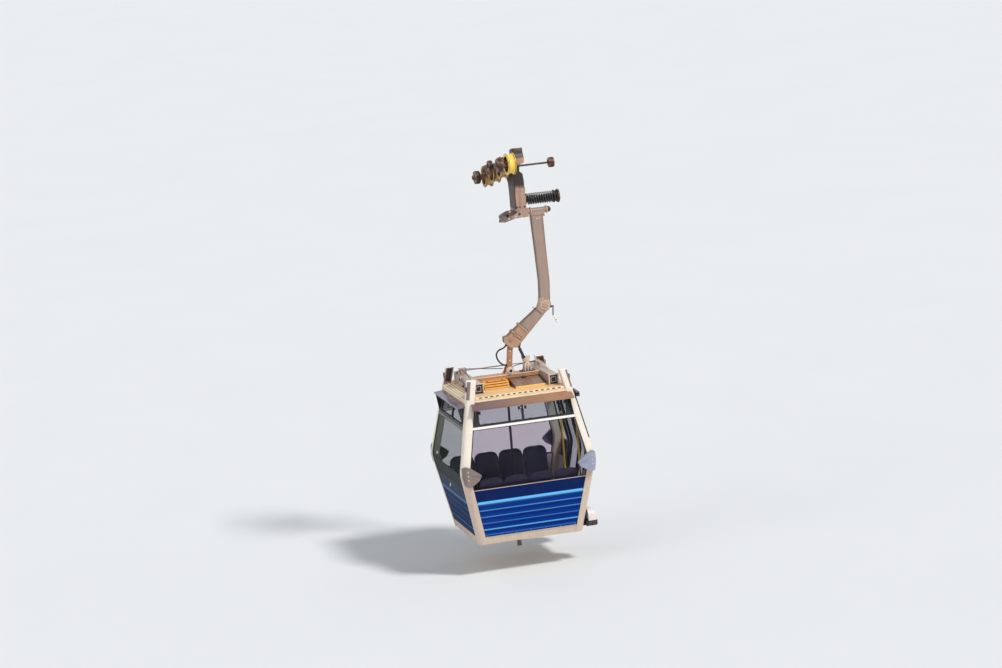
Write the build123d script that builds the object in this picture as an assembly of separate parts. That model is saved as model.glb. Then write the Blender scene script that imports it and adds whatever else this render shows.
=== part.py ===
from build123d import *
import os
from math import atan, cos, degrees, hypot, radians, sin, tan

# Cable car cabin with its hanger and its eight-roller carriage, in millimetres.
# +Z is up, +Y is the downhill line direction and +X is the door side.
# The origin is the centre of the track rope at the middle of the carriage.

# Line
LINE_ANGLE = 14.0
TRACK_ROPE_R = 35.0
HAUL_ROPE_R = 22.5
HAUL_DROP = 578.0
RUN_GAP = 0.05
CLEAR = 6.0
SEAT_GAP = 0.3
CUT = 150.0

# Cabin, measured from its own axis at the belt, where the walls are widest
BELT = {"side": 1106.0, "end": 1020.0}
SLOPE = {"side": 0.206, "end": 0.192}
OTHER = {"side": "end", "end": "side"}
BELT_BEND = 80.0
REACH = 2 * BELT["side"]
Z_BOTTOM, Z_SILL, Z_GLASS, Z_BAR, Z_ROOF = -1215.0, -1090.0, -280.0, 697.0, 1050.0
Z_STEP = Z_ROOF + 85.0
Z_DECK = Z_ROOF + 128.0
Z_TOP = Z_DECK + 250.0

# Posts, whose centre lines stand in from the walls' faces
PILLAR_HALF = 68.0
PILLAR_ROUND = 93.0
PILLAR_SOFT = 12.0
POST_IN = 56.0
POST_FACE = POST_IN + PILLAR_HALF
POST_PROUD = PILLAR_HALF - POST_IN
CHANNEL_HALF, CHANNEL_BACK = 46.0, 30.0

# Walls
PANEL_T = 40.0
GLASS_T = 8.0
FRAME_T = 30.0
BAR_H, BAR_T, BAR_PROUD = 36.0, 42.0, 12.0
RIB_LEVELS = (-517.0, -647.0, -759.0, -869.0, -975.0)
RIB_H, RIB_PROUD = 44.0, 8.0
FLOOR_T = 45.0
SILL_T = 50.0
ROOF_T = 55.0
STEP_IN = 12.0
DECK_HALF = 702.0

# Visors
VISOR_OUT = {"end": 146.0, "side": 133.0}
VISOR_DROP = {"end": 78.0, "side": 14.0}
VISOR_ROOT = {"end": Z_ROOF + 48.0, "side": Z_ROOF - 2.0}
VISOR_HALF = {"end": BELT["side"] - 274.0, "side": BELT["end"] - 276.0}
VISOR_T, VISOR_CHEEK_T, VISOR_EDGE = 25.0, 8.0, 12.0

# Doors
DOOR_HALF = 470.0
LEAF_W, LEAF_T, LEAF_SPLIT = 485.0, 30.0, 3.0
LEAF_OUT = POST_PROUD + CLEAR + LEAF_T
LEAF_BOTTOM, LEAF_TOP = Z_SILL - 30.0, Z_ROOF - 75.0
LEAF_GLASS_LOW, LEAF_GLASS_HIGH = LEAF_BOTTOM + 380.0, LEAF_TOP - 70.0
TRACK_H = 24.0
LEAF_BORDER = 48.0
PORTAL_T, PORTAL_LAP = 40.0, 30.0
SHOE_AT = (90.0, 395.0)
SHOE_L, SHOE_H, SHOE_HALF, SHOE_NECK, NECK_HALF = 60.0, 30.0, 13.0, 40.0, 4.0
HEADER_HALF = BELT["end"] - 188.0
HANDLE_X, HANDLE_R, HANDLE_GAP = BELT["side"] - 121.0, 15.0, 26.0
HANDLE_Z0, HANDLE_Z1 = -450.0, 500.0

# Station guides
GUIDE_Y0, GUIDE_Y1, GUIDE_OUT = 460.0, 760.0, 280.0
GUIDE_Z0, GUIDE_SHOE_H, GUIDE_TOP = Z_BOTTOM + 55.0, 82.0, Z_BOTTOM + 330.0

# Seats
SEAT_COUNT, SEAT_W = 4, 396.0
SEAT_Z, SEAT_BACK_Z, SEAT_DEPTH, SEAT_T = -745.0, -125.0, 430.0, 18.0
SEAT_BEHIND, SEAT_RISE, SEAT_BEND = 40.0, 25.0, 60.0
SEAT_ROW_HALF = BELT["side"] + SLOPE["side"] * (SEAT_Z - SEAT_T) - POST_FACE - 8.8
SEAT_PITCH = (2 * SEAT_ROW_HALF - SEAT_W) / (SEAT_COUNT - 1)
BENCH_IN, BENCH_W, BENCH_HALF, BENCH_LEG_X = 150.0, 60.0, SEAT_ROW_HALF - 56.0, 480.0

# Roof gear
TUBE_W, TUBE_H, TUBE_HALF, TUBE_WALL, TUBE_GAP = 150.0, 170.0, 620.0, 12.0, 9.3
TUBE_X = BELT["side"] - SLOPE["side"] * (Z_DECK + TUBE_H) - POST_FACE - TUBE_GAP - TUBE_W / 2
BEAM_W, BEAM_H, BEAM_TOP = 150.0, 70.0, Z_DECK + 158.0
BOSS_X, BOSS_Z, BOSS_R, BOSS_PIN_R = 60.0, BEAM_TOP + 50.0, 66.0, 24.0
LINK_W, LINK_R = 100.0, 42.0
EAR_T = 22.0
CLEVIS_X, CLEVIS_RISE, CLEVIS_PIN_R, PIN_PLAY = 360.0, 70.0, 10.0, 4.0
CLEVIS_Z = BOSS_Z + CLEVIS_RISE
GEAR_Y = -BEAM_W / 2 - 15.0

# Hanger, in measures of its own, in which the cabin's pivot is at LINK_FOOT_Z
LINK_FOOT_Z = 1386.0
PIVOT_Z = 3905.0
ARM_TOP_X0, ARM_TOP_X1 = 607.0, 896.0
ARM_DEPTH = 120.0
LINK_TOP = (116.0, 1876.0)
DAMPER_TOP = (250.0, 1742.0)
SHAFT_R, SHAFT_BOSS_R = 26.0, 45.0
SLOT_HALF, EAR_HALF, EYE_R = 29.5, 14.0, 22.0
TUBE_R, TUBE_START, TUBE_END, STEM_R = 24.0, 34.0, 205.0, 8.5

# Where the hanger's shaft and the cabin hang under the track rope
SHAFT_DROP = 530.0
CABIN_X = -160.0
HANGER_Z = -SHAFT_DROP - PIVOT_Z
CABIN_Z = HANGER_Z + LINK_FOOT_Z - BOSS_Z

# Carriage, square to the rope before it is turned to the line's angle
WHEEL_Y = (-750.0, -250.0, 250.0, 750.0)
WHEEL_R, WHEEL_W, GROOVE_R, WHEEL_BORE = 172.0, 124.0, 145.0, 30.0
AXLE_Z = TRACK_ROPE_R + GROOVE_R
BOGIE_Y, BOGIE_Z = 500.0, 265.0
PLATE_X, PLATE_T = 75.0, 14.0
BEAM_X0, BEAM_X1 = 104.0, 264.0
STATION_X0, STATION_X1, STATION_R = -214.0, -134.0, 105.0
LEVER_X0, LEVER_X1, LEVER_R, LEVER_Z = -160.0, -98.0, 85.0, 265.0
GUIDE_X0, GUIDE_X1, GUIDE_R, GUIDE_Z = 820.0, 900.0, 80.0, 213.0
COLUMN_X0, COLUMN_X1, COLUMN_Y, COLUMN_FOOT = 173.0, 357.0, 150.0, -455.0
SPRING_X0, SPRING_X1, SPRING_R, SPRING_Z = 400.0, 905.0, 96.0, -335.0


def block(x0, x1, y0, y1, z0, z1):
    """Square block between six planes."""
    return Pos((x0 + x1) / 2, (y0 + y1) / 2, (z0 + z1) / 2) * Box(x1 - x0, y1 - y0, z1 - z0)


def plate_x(points, x0, x1, rounds=()):
    """Outline in Y and Z, pulled along X. rounds pairs a corner with its radius."""
    return extrude(Plane.YZ.offset(x0) * rounded(points, rounds), x1 - x0, dir=(1, 0, 0))


def plate_y(points, y0, y1, rounds=()):
    """Outline in X and Z, pulled along Y."""
    return extrude(Plane.XZ.offset(-y1) * rounded(points, rounds), y1 - y0, dir=(0, -1, 0))


def rounded(points, rounds=()):
    """Closed outline, with the corners that rounds names filleted."""
    face = Polygon(*points, align=None)
    for (a, b), radius in rounds:
        corner = face.vertices().sort_by_distance(Vector(a, b))[0]
        face = fillet(corner, radius)
    return face


def rod(start, end, radius):
    """Round bar between two points."""
    start, end = Vector(*start), Vector(*end)
    return Solid.make_cylinder(radius, (end - start).length, Plane(origin=start, z_dir=end - start))


def rod_x(x0, x1, y, z, radius):
    return rod((x0, y, z), (x1, y, z), radius)


def rod_y(y0, y1, x, z, radius):
    return rod((x, y0, z), (x, y1, z), radius)


def on_cabin(shape):
    """From the cabin's measures to the part's frame."""
    return Pos(CABIN_X, 0, CABIN_Z) * shape


def on_hanger(shape):
    """From the hanger's measures to the part's frame."""
    return Pos(CABIN_X, 0, HANGER_Z) * shape


def on_line(shape):
    """From square with the rope to the line's own angle."""
    return Rot(X=-LINE_ANGLE) * shape


def save(name, *shapes):
    """Write one named piece, whose solids may lie apart."""
    solids = [solid for shape in shapes for solid in shape.solids()]
    export_step(Compound(solids) if len(solids) > 1 else solids[0], f"parts/{name}.step")


# Cabin shell

def half(kind, z):
    """Half the cabin's width (side) or length (end) at a height, with the belt eased."""
    slope = SLOPE[kind]
    if abs(z) >= BELT_BEND:
        return BELT[kind] - slope * abs(z)
    run = z + BELT_BEND
    return BELT[kind] - slope * BELT_BEND + slope * run - slope * run * run / (2 * BELT_BEND)


BEND_LEVELS = (-BELT_BEND, -BELT_BEND / 3, BELT_BEND / 3, BELT_BEND)


def levels(z0, z1):
    return [z0] + [z for z in BEND_LEVELS if z0 < z < z1] + [z1]


def skin(kind, z0, z1, out, thick, ribs=()):
    """Section of a wall in (outward, up), bent over the belt, with pressed ribs outside."""
    belt, slope = BELT[kind], SLOPE[kind]

    def line(z):
        return belt + out - slope * abs(z)

    outer = [(line(z0), z0)]
    for z in sorted(ribs):
        for rise, proud in ((-0.5, 0), (-0.32, RIB_PROUD), (0.32, RIB_PROUD), (0.5, 0)):
            outer.append((line(z + rise * RIB_H) + proud, z + rise * RIB_H))
    inner = [(line(z0) - thick, z0)]
    rounds = []
    if z0 < -BELT_BEND and z1 > BELT_BEND:
        outer.append((line(0), 0))
        inner.append((line(0) - thick, 0))
        bend_r = BELT_BEND / tan(atan(slope))
        rounds = [(outer[-1], bend_r), (inner[-1], bend_r - thick)]
    outer.append((line(z1), z1))
    inner.append((line(z1) - thick, z1))
    return rounded(outer + inner[::-1], rounds)


TO_POSTS = (None, None)


def wall(kind, z0, z1, out, thick, across=TO_POSTS, ribs=(), inset=POST_FACE):
    """Wall piece as seen from the front, where outward is -Y. It spans X from the first to the second
    place in across, where None is the post's face."""
    section = skin(kind, z0, z1, out, thick, ribs)
    upright = Plane(origin=(REACH / 2, 0, 0), x_dir=(0, -1, 0), z_dir=(-1, 0, 0))
    body = extrude(upright * section, REACH, dir=(-1, 0, 0))
    low, high = across
    steps = levels(z0, z1)
    edges = [(z, half(OTHER[kind], z) - inset) for z in steps]
    outline = [(-edge if low is None else low, z) for z, edge in edges]
    outline += [(edge if high is None else high, z) for z, edge in reversed(edges)]
    return body & plate_y(outline, -REACH, 0)


TURN = {"front": 0, "right": 90, "rear": 180, "left": -90}
KIND = {"front": "end", "rear": "end", "left": "side", "right": "side"}


def facing(face, shape):
    """Turn a piece made for the front wall to the wall it belongs to."""
    return on_cabin(Rot(Z=TURN[face]) * shape)


def plan(z, inset=0.0, notch=POST_FACE):
    """Plan outline at a height, with its corners cut out for the pillars."""
    w, d = half("side", z), half("end", z)
    corner = [(w - inset, d - notch), (w - notch, d - notch), (w - notch, d - inset)]
    points = []
    for sx, sy, order in ((1, 1, 1), (-1, 1, -1), (-1, -1, 1), (1, -1, -1)):
        points += [(sx * x, sy * y) for x, y in corner[::order]]
    return Pos(0, 0, z) * Polygon(*points, align=None)


def pillar():
    """Post bent at the belt: two straight lengths, each with its section square to its own run, and the
    bend turned between them."""
    side, end = SLOPE["side"], SLOPE["end"]
    knee = Vector(half("side", -BELT_BEND) - POST_IN, half("end", -BELT_BEND) - POST_IN, -BELT_BEND)
    square = Plane(origin=knee, x_dir=(1, 0, -side), z_dir=(side, end, 1))
    corners = []
    for x, y in ((-1, -1), (1, -1), (1, 1), (-1, 1)):
        corner = square.to_local_coords(knee + Vector(x, y) * PILLAR_HALF)
        corners.append((corner.X, corner.Y))
    section = square * rounded(corners, zip(corners, (PILLAR_SOFT, PILLAR_SOFT, PILLAR_ROUND, PILLAR_SOFT)))
    lean = atan(hypot(side, end))
    bend_r = BELT_BEND / sin(lean)
    centre = knee - Vector(side, end).normalized() * bend_r * cos(lean) + Vector(0, 0, BELT_BEND)
    leg = extrude(section, REACH, dir=(-side, -end, -1))
    post = leg + revolve(section, Axis(centre, (end, -side, 0)), degrees(2 * lean)) + leg.mirror(Plane.XY)
    post &= block(0, REACH, 0, REACH, Z_BOTTOM, Z_TOP)
    channel = []
    for z in (Z_DECK + 8, Z_TOP - 22):
        w, d = half("side", z) - POST_IN, half("end", z) - POST_IN
        channel.append(Pos(w, d + CHANNEL_BACK - PILLAR_HALF, z) * Rectangle(2 * CHANNEL_HALF, 2 * PILLAR_HALF))
    return post - loft(channel, ruled=True)


def lower_panel(kind, across=TO_POSTS):
    return wall(kind, Z_SILL, Z_GLASS, 0, PANEL_T, across, RIB_LEVELS)


def window(kind, across=TO_POSTS):
    return wall(kind, Z_GLASS, Z_BAR - BAR_H / 2, 0, GLASS_T, across, inset=POST_FACE + SEAT_GAP)


def window_bar(kind, across=TO_POSTS):
    return wall(kind, Z_BAR - BAR_H / 2, Z_BAR + BAR_H / 2, BAR_PROUD, BAR_T, across)


VENT_LOW, VENT_HIGH, VENT_SIDE, VENT_MID, VENT_DEEP = 30.0, 60.0, 45.0, 16.0, 10.0


def vent_strip(kind):
    """Black frame above the window bar and the two panes that fill it."""
    z0, z1 = Z_BAR + BAR_H / 2, Z_ROOF
    edge = half(OTHER[kind], Z_ROOF) - POST_FACE - VENT_SIDE
    frame = wall(kind, z0, z1, 0, FRAME_T)
    panes = []
    for across in ((-edge, -VENT_MID), (VENT_MID, edge)):
        frame -= wall(kind, z0 + VENT_LOW, z1 - VENT_HIGH, CUT, 2 * CUT, across)
        panes.append(wall(kind, z0 + VENT_LOW, z1 - VENT_HIGH, -VENT_DEEP, GLASS_T, across))
    return frame, panes


def visor(kind):
    """Sun visor over a vent strip, and its two black cheeks."""
    def wall_y(z):
        return -half(kind, z)

    other, root, out = OTHER[kind], VISOR_ROOT[kind], VISOR_OUT[kind]
    tip = root - VISOR_DROP[kind]
    under = root - VISOR_T
    board = plate_x([(wall_y(root), root), (wall_y(tip) - out, tip), (wall_y(tip) - out, tip - VISOR_T),
                     (wall_y(under), under)], -VISOR_HALF[kind], VISOR_HALF[kind])
    flank = half(other, root) - POST_FACE - SEAT_GAP
    front = wall_y(tip - VISOR_T) - POST_PROUD - SEAT_GAP
    for side in (-1, 1):
        ends = sorted((side * flank, side * REACH))
        board -= block(*ends, front, 0, 0, Z_TOP)
    low_z = Z_BAR + BAR_H / 2
    cheek = plate_x([(wall_y(low_z) - SEAT_GAP, low_z), (wall_y(tip) - out + VISOR_EDGE, tip - VISOR_T - SEAT_GAP),
                     (wall_y(under) - SEAT_GAP, under)], -REACH, REACH)
    cheek -= board
    cheeks = []
    for side in (-1, 1):
        band = [(side * (half(other, z) - POST_FACE - gap), z) for z, gap in
                ((low_z, 1), (Z_TOP, 1), (Z_TOP, 1 + VISOR_CHEEK_T), (low_z, 1 + VISOR_CHEEK_T))]
        cheeks.append(cheek & plate_y(band, -REACH, 0))
    return board, cheeks


def floor_pan():
    """Floor and the sill round it, notched for the pillars and cut down at the doorway."""
    pan = loft([plan(Z_BOTTOM), plan(Z_SILL)], ruled=True)
    top = Z_BOTTOM + FLOOR_T
    well = loft([plan(top, SILL_T, POST_FACE + SILL_T), plan(Z_SILL, SILL_T, POST_FACE + SILL_T)], ruled=True)
    doorway = block(0, REACH, -DOOR_HALF, DOOR_HALF, top, Z_SILL)
    return pan - well - doorway


def roof():
    """Hollow roof lid between the pillars: a stepped edge in front and behind, a slope on each side."""
    lid = loft([plan(Z_ROOF), plan(Z_STEP)], ruled=True)
    lid += loft([plan(Z_STEP, STEP_IN), plan(Z_DECK, STEP_IN)], ruled=True)
    edge = half("side", Z_STEP)
    slope = plate_y([(edge, Z_STEP), (DECK_HALF, Z_DECK), (DECK_HALF, Z_TOP), (REACH, Z_TOP), (REACH, Z_STEP)],
                    -REACH, REACH)
    hollow = loft([plan(Z_ROOF, ROOF_T, POST_FACE + ROOF_T), plan(Z_DECK - ROOF_T, ROOF_T, POST_FACE + ROOF_T)],
                  ruled=True)
    return lid - slope - slope.mirror(Plane.YZ) - hollow


def buffer():
    """Ear-shaped rubber buffer on the front left pillar's kink, as seen from the front. Its outline is
    drawn from the post's left face, and it thins out towards its tip."""
    x = POST_IN - half("side", 0) - PILLAR_HALF
    y = POST_IN - half("end", 0) - PILLAR_HALF
    ear = plate_y([(x + 14, 100), (x + 64, 142), (x + 160, 92), (x + 322, -30), (x + 268, -112), (x + 108, -200),
                   (x + 46, -178), (x + 8, -40)], y - 60, y + 100,
                  (((x + 64, 142), 55), ((x + 160, 92), 90), ((x + 322, -30), 28), ((x + 108, -200), 60)))
    plan_view = rounded([(x, y + 100), (x, y + 30), (x + 56, y - 60), (x + 150, y - 60), (x + 330, y - 12),
                         (x + 330, y + 100)],
                        (((x, y + 30), 40), ((x + 56, y - 60), 40), ((x + 150, y - 60), 200)))
    ear &= extrude(Pos(0, 0, -REACH) * plan_view, 2 * REACH, dir=(0, 0, 1))
    return ear - wall("end", -400, 400, SEAT_GAP, 400, (x + 2 * PILLAR_HALF - 8, 0))


# Doors

def portal():
    """Door surround that stands out to the leaves, with its jambs, header and sill."""
    top = LEAF_TOP - PORTAL_LAP
    jamb = DOOR_HALF + PORTAL_T
    outer = wall("side", Z_SILL, top, POST_PROUD, POST_PROUD + FRAME_T, (-jamb, jamb))
    return outer - wall("side", Z_SILL, top - PORTAL_T, CUT, 2 * CUT, (-DOOR_HALF, DOOR_HALF))


def leaf(side):
    """Sliding door leaf, as on the front wall's place: its frame with shoes, and its glass."""
    ends = sorted((side * LEAF_SPLIT, side * (LEAF_SPLIT + LEAF_W)))
    frame = wall("side", LEAF_BOTTOM, LEAF_TOP, LEAF_OUT, LEAF_T, ends)
    hole_ends = (ends[0] + LEAF_BORDER, ends[1] - LEAF_BORDER)
    frame -= wall("side", LEAF_GLASS_LOW, LEAF_GLASS_HIGH, CUT, 2 * CUT, hole_ends)
    glass = wall("side", LEAF_GLASS_LOW, LEAF_GLASS_HIGH, LEAF_OUT - GLASS_T, GLASS_T, hole_ends)
    y = leaf_middle()
    for at in SHOE_AT:
        x0, x1 = side * (LEAF_SPLIT + at) - SHOE_L / 2, side * (LEAF_SPLIT + at) + SHOE_L / 2
        neck_top = LEAF_TOP + SHOE_NECK
        frame += block(x0, x1, y - NECK_HALF, y + NECK_HALF, LEAF_TOP - 5, neck_top)
        frame += block(x0, x1, y - SHOE_HALF, y + SHOE_HALF, neck_top, neck_top + SHOE_H)
    return frame, glass


def leaf_middle():
    """Where the middle of a leaf's thickness lies at its top, with the wall seen from the front."""
    return -(half("side", LEAF_TOP) + LEAF_OUT - LEAF_T / 2)


def door_header():
    """Rail housing over the leaves: a hood with a slotted rail in which the shoes run."""
    y = leaf_middle()
    neck_top = LEAF_TOP + SHOE_NECK
    z0, z1 = LEAF_TOP + CLEAR, neck_top + SHOE_H + 14
    back = -half("side", Z_ROOF)
    body = block(-HEADER_HALF, HEADER_HALF, y - 28, y + 18, z0, z1)
    body -= block(-HEADER_HALF, HEADER_HALF, y - SHOE_HALF - 1, y + SHOE_HALF + 1, neck_top - 0.5,
                  neck_top + SHOE_H + 0.5)
    body -= block(-HEADER_HALF, HEADER_HALF, y - NECK_HALF - 5, y + NECK_HALF + 5, z0, neck_top)
    flank = half("end", z1) - POST_FACE - 1
    web = block(-flank, flank, y + 18, back - 5, z0 + 60, z1)
    roof_side = plate_x([(-half("side", z), z) for z in (z0, Z_TOP)] + [(0, Z_TOP), (0, z0)], -REACH, REACH)
    return body + (web + block(-flank, flank, back - 6, back + 60, z0 + 60, z1) - roof_side)


def floor_block():
    """The floor pan's outer shape, unhollowed."""
    return loft([plan(Z_BOTTOM), plan(Z_SILL)], ruled=True)


def door_track():
    """Bottom guide bar under the leaves."""
    z1 = LEAF_BOTTOM - CLEAR
    out = half("side", Z_SILL) + LEAF_OUT
    flank = half("end", Z_BOTTOM) - POST_FACE - 1
    bar = block(-flank, flank, -out, -half("side", Z_SILL) + 30, z1 - TRACK_H, z1)
    return bar - Rot(Z=-TURN["right"]) * floor_block()


def side_guide(side):
    """Station guide outside the door leaf: black shoe on its foot from the floor, and white housing."""
    y0, y1 = sorted((side * GUIDE_Y0, side * GUIDE_Y1))
    foot_y = sorted((side * (GUIDE_Y0 + 10), side * (GUIDE_Y0 + 80)))
    out = half("side", Z_BOTTOM) + GUIDE_OUT
    z1 = GUIDE_Z0 + GUIDE_SHOE_H
    inner = half("side", z1) + LEAF_OUT + CLEAR
    shoe = block(inner, out, y0, y1, GUIDE_Z0, z1)
    shoe = fillet(shoe.edges().filter_by(Axis.Z).group_by(Axis.X)[-1], 60)
    shoe += block(half("side", Z_BOTTOM) - 20, inner + 50, *foot_y, GUIDE_Z0 - 38, GUIDE_Z0 + 4) - floor_block()
    house = block(half("side", GUIDE_TOP) + LEAF_OUT + CLEAR, out - 5, y0 + 4, y1 - 4, z1, GUIDE_TOP)
    house = fillet(house.edges().filter_by(Axis.Z).group_by(Axis.X)[-1], 56)
    house = fillet(house.faces().sort_by(Axis.Z)[-1].edges().group_by(Axis.X)[-1], 120)
    return shoe, house


def poles():
    """Yellow handles in the door portal and the dark centre post."""
    handles = []
    for side in (-1, 1):
        y = side * (DOOR_HALF - HANDLE_GAP)
        handle = rod((HANDLE_X, y, HANDLE_Z0), (HANDLE_X, y, HANDLE_Z1), HANDLE_R)
        for z in (HANDLE_Z0 + 20, HANDLE_Z1 - 20):
            handle += block(HANDLE_X, HANDLE_X + 24, *sorted((y, side * DOOR_HALF)), z - 8, z + 8)
        handles.append(handle)
    post = rod((0, 0, Z_BOTTOM + FLOOR_T), (0, 0, Z_DECK - ROOF_T), 20)
    return handles, post


# Seats

def seat_heel():
    """Where a seat's pan and back meet, clear of the lower panel behind it."""
    return -half("end", SEAT_Z - SEAT_T) + PANEL_T + SEAT_BEHIND / 2


def seat(x):
    """Moulded seat shell: one bent sheet of even thickness with soft corners."""
    t = SEAT_T
    heel_y = seat_heel()
    top_y = -half("end", SEAT_BACK_Z) + GLASS_T + SEAT_BEHIND
    front_y = heel_y + SEAT_DEPTH
    outline = [(top_y + t, SEAT_BACK_Z), (heel_y + t, SEAT_Z), (front_y, SEAT_Z + SEAT_RISE),
               (front_y, SEAT_Z + SEAT_RISE - t), (heel_y, SEAT_Z - t), (top_y, SEAT_BACK_Z)]
    return plate_x(outline, x - SEAT_W / 2, x + SEAT_W / 2,
                   (((heel_y + t, SEAT_Z), SEAT_BEND), ((heel_y, SEAT_Z - t), SEAT_BEND + t)))


def seats():
    return [seat((i - (SEAT_COUNT - 1) / 2) * SEAT_PITCH) for i in range(SEAT_COUNT)]


def bench_frame():
    """Beam and two legs that carry a row of seats."""
    y0, y1 = seat_heel() + BENCH_IN, seat_heel() + BENCH_IN + BENCH_W
    slope = SEAT_RISE / SEAT_DEPTH
    top = SEAT_Z - SEAT_T - SEAT_GAP
    low = top - BENCH_W
    beam = plate_x([(y0, top + slope * BENCH_IN), (y1, top + slope * (BENCH_IN + BENCH_W)), (y1, low), (y0, low)],
                   -BENCH_HALF, BENCH_HALF)
    for x in (-BENCH_LEG_X, BENCH_LEG_X):
        beam += block(x - BENCH_W / 2, x + BENCH_W / 2, y0, y1, Z_BOTTOM + FLOOR_T, low)
    return beam


# Roof gear

def roof_tube(side):
    """Open square tube along the roof."""
    x = side * TUBE_X
    body = block(x - TUBE_W / 2, x + TUBE_W / 2, -TUBE_HALF, TUBE_HALF, Z_DECK, Z_DECK + TUBE_H)
    core = block(x - TUBE_W / 2 + TUBE_WALL, x + TUBE_W / 2 - TUBE_WALL, -TUBE_HALF, TUBE_HALF,
                 Z_DECK + TUBE_WALL, Z_DECK + TUBE_H - TUBE_WALL)
    return fillet(body.edges().filter_by(Axis.Y), 8) - core


def eye(x, z, radius, y0, y1):
    return rod_y(y0, y1, x, z, radius)


def cross_beam():
    """Beam between the roof tubes, with the ears of the cabin's pivot and the damper's clevis."""
    x = TUBE_X - TUBE_W / 2
    body = block(-x, x, -BEAM_W / 2, BEAM_W / 2, BEAM_TOP - BEAM_H, BEAM_TOP)
    body += block(-x, x, -BEAM_W / 2 + 30, BEAM_W / 2 - 30, Z_DECK, BEAM_TOP - BEAM_H + 5)
    for side in (-1, 1):
        y0, y1 = sorted((side * (LINK_W / 2 + 5), side * (LINK_W / 2 + 5 + EAR_T)))
        ear = plate_y([(BOSS_X - 95, BEAM_TOP), (BOSS_X - 55, BOSS_Z + 20), (BOSS_X + 55, BOSS_Z + 20),
                       (BOSS_X + 95, BEAM_TOP)], y0, y1)
        body += ear + eye(BOSS_X, BOSS_Z, BOSS_R, y0, y1)
        y0, y1 = sorted((side * 20.0, side * 34.0))
        clevis = plate_y([(CLEVIS_X - 85, BEAM_TOP), (CLEVIS_X - 26, CLEVIS_Z), (CLEVIS_X + 26, CLEVIS_Z),
                          (CLEVIS_X + 85, BEAM_TOP)], y0, y1)
        body += clevis + eye(CLEVIS_X, CLEVIS_Z, 28, y0, y1)
    ear_face = LINK_W / 2 + 5 + EAR_T
    pins = eye(BOSS_X, BOSS_Z, BOSS_PIN_R, -ear_face - 12, ear_face + 12)
    pins += eye(CLEVIS_X, CLEVIS_Z, CLEVIS_PIN_R, -42, 42)
    return body + pins


def solar_panel():
    """Dark panel in the front half of the roof, tilted up to the beam."""
    y0 = GEAR_Y - 455
    return plate_x([(y0, Z_DECK), (y0, Z_DECK + 26), (GEAR_Y, Z_DECK + 90), (GEAR_Y, Z_DECK)], 5, 505)


def battery_box():
    """Louvred box beside the panel, whose front leans back to the beam."""
    y, z = GEAR_Y - 255, Z_DECK
    outline = [(y, z)]
    for _ in range(3):
        outline += [(y - 12, z + 8), (y - 12, z + 18), (y + 28, z + 35)]
        y, z = y + 28, z + 35
    outline += [(GEAR_Y, z), (GEAR_Y, Z_DECK)]
    return plate_x(outline, -450, -40)


def door_drive():
    """Door drive on the left roof tube: housing, bent lever down to the roof's edge and its cross rod."""
    y, x0, x1 = 305.0, -TUBE_X - 65, -TUBE_X + 45
    tube_top = Z_DECK + TUBE_H
    body = fillet(block(x0, x1, y - 55, y + 55, tube_top, tube_top + 88).edges().filter_by(Axis.Z), 18)
    out = -TUBE_X - TUBE_W / 2
    lever = plate_x([(y + 20, tube_top + 70), (y - 150, tube_top + 10), (y - 190, tube_top - 60),
                     (y - 330, tube_top - 95), (y - 420, Z_DECK + 10), (y - 375, Z_DECK + 10),
                     (y - 300, tube_top - 135), (y - 150, tube_top - 100), (y - 110, tube_top - 30),
                     (y + 20, tube_top + 10)], out - 26, out)
    arm = block(out - 26, x0 + 20, y - 25, y + 25, tube_top + 22, tube_top + 62)
    cross = rod((x1 - 10, y, tube_top + 62), (TUBE_X - 30, y, tube_top + 62), 9)
    foot = block(TUBE_X - 45, TUBE_X + 35, y - 45, y + 45, tube_top, tube_top + 80)
    return body + lever + arm + cross + foot


# Hanger

def hanger_arm():
    """Straight box arm under its pivot boss, with a running bore on the shaft."""
    z_neck = PIVOT_Z - 60
    arm = plate_y([(612, z_neck), (640, 3300), (665, 2760), (655, 2500), (815, 2430), (832, 2760), (815, 3300),
                   (805, z_neck), (805, PIVOT_Z), (612, PIVOT_Z)], -ARM_DEPTH / 2, ARM_DEPTH / 2)
    boss = rod_x(ARM_TOP_X0, ARM_TOP_X1, 0, PIVOT_Z, SHAFT_BOSS_R)
    cheek = plate_x([(-ARM_DEPTH / 2, z_neck - 40), (ARM_DEPTH / 2, z_neck - 40), (38, PIVOT_Z), (-38, PIVOT_Z)],
                    ARM_TOP_X0 + 5, ARM_TOP_X1 - 60)
    arm -= block(500, 1000, -100, 100, z_neck - 40, PIVOT_Z + 100)
    body = arm + cheek + boss
    return body - rod_x(500, 1000, 0, PIVOT_Z, SHAFT_R + RUN_GAP)


def hanger_elbow():
    """Casting that clasps the two arms at the bend."""
    return plate_y([(648, 2500), (640, 2420), (600, 2330), (700, 2235), (790, 2300), (828, 2380), (815, 2430),
                    (655, 2500)], -ARM_DEPTH / 2, ARM_DEPTH / 2)


def lower_arm():
    """Inclined channel arm from the bend down to the link."""
    arm = plate_y([(600, 2330), (700, 2235), (205, 1745), (105, 1745), (5, 1845), (5, 1930), (80, 1945)],
                  -ARM_DEPTH / 2, ARM_DEPTH / 2)
    slot = block(-100, 235, -SLOT_HALF, SLOT_HALF, 1700, 1860)
    x, z = DAMPER_TOP
    ear = plate_y([(x - 14, z + 60), (x - 22, z), (x + 22, z), (x + 60, z + 110)], -EAR_HALF, EAR_HALF)
    ear += eye(x, z, EYE_R, -EAR_HALF, EAR_HALF)
    return arm - slot + ear - eye(x, z, CLEVIS_PIN_R + RUN_GAP, -ARM_DEPTH, ARM_DEPTH)


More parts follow.
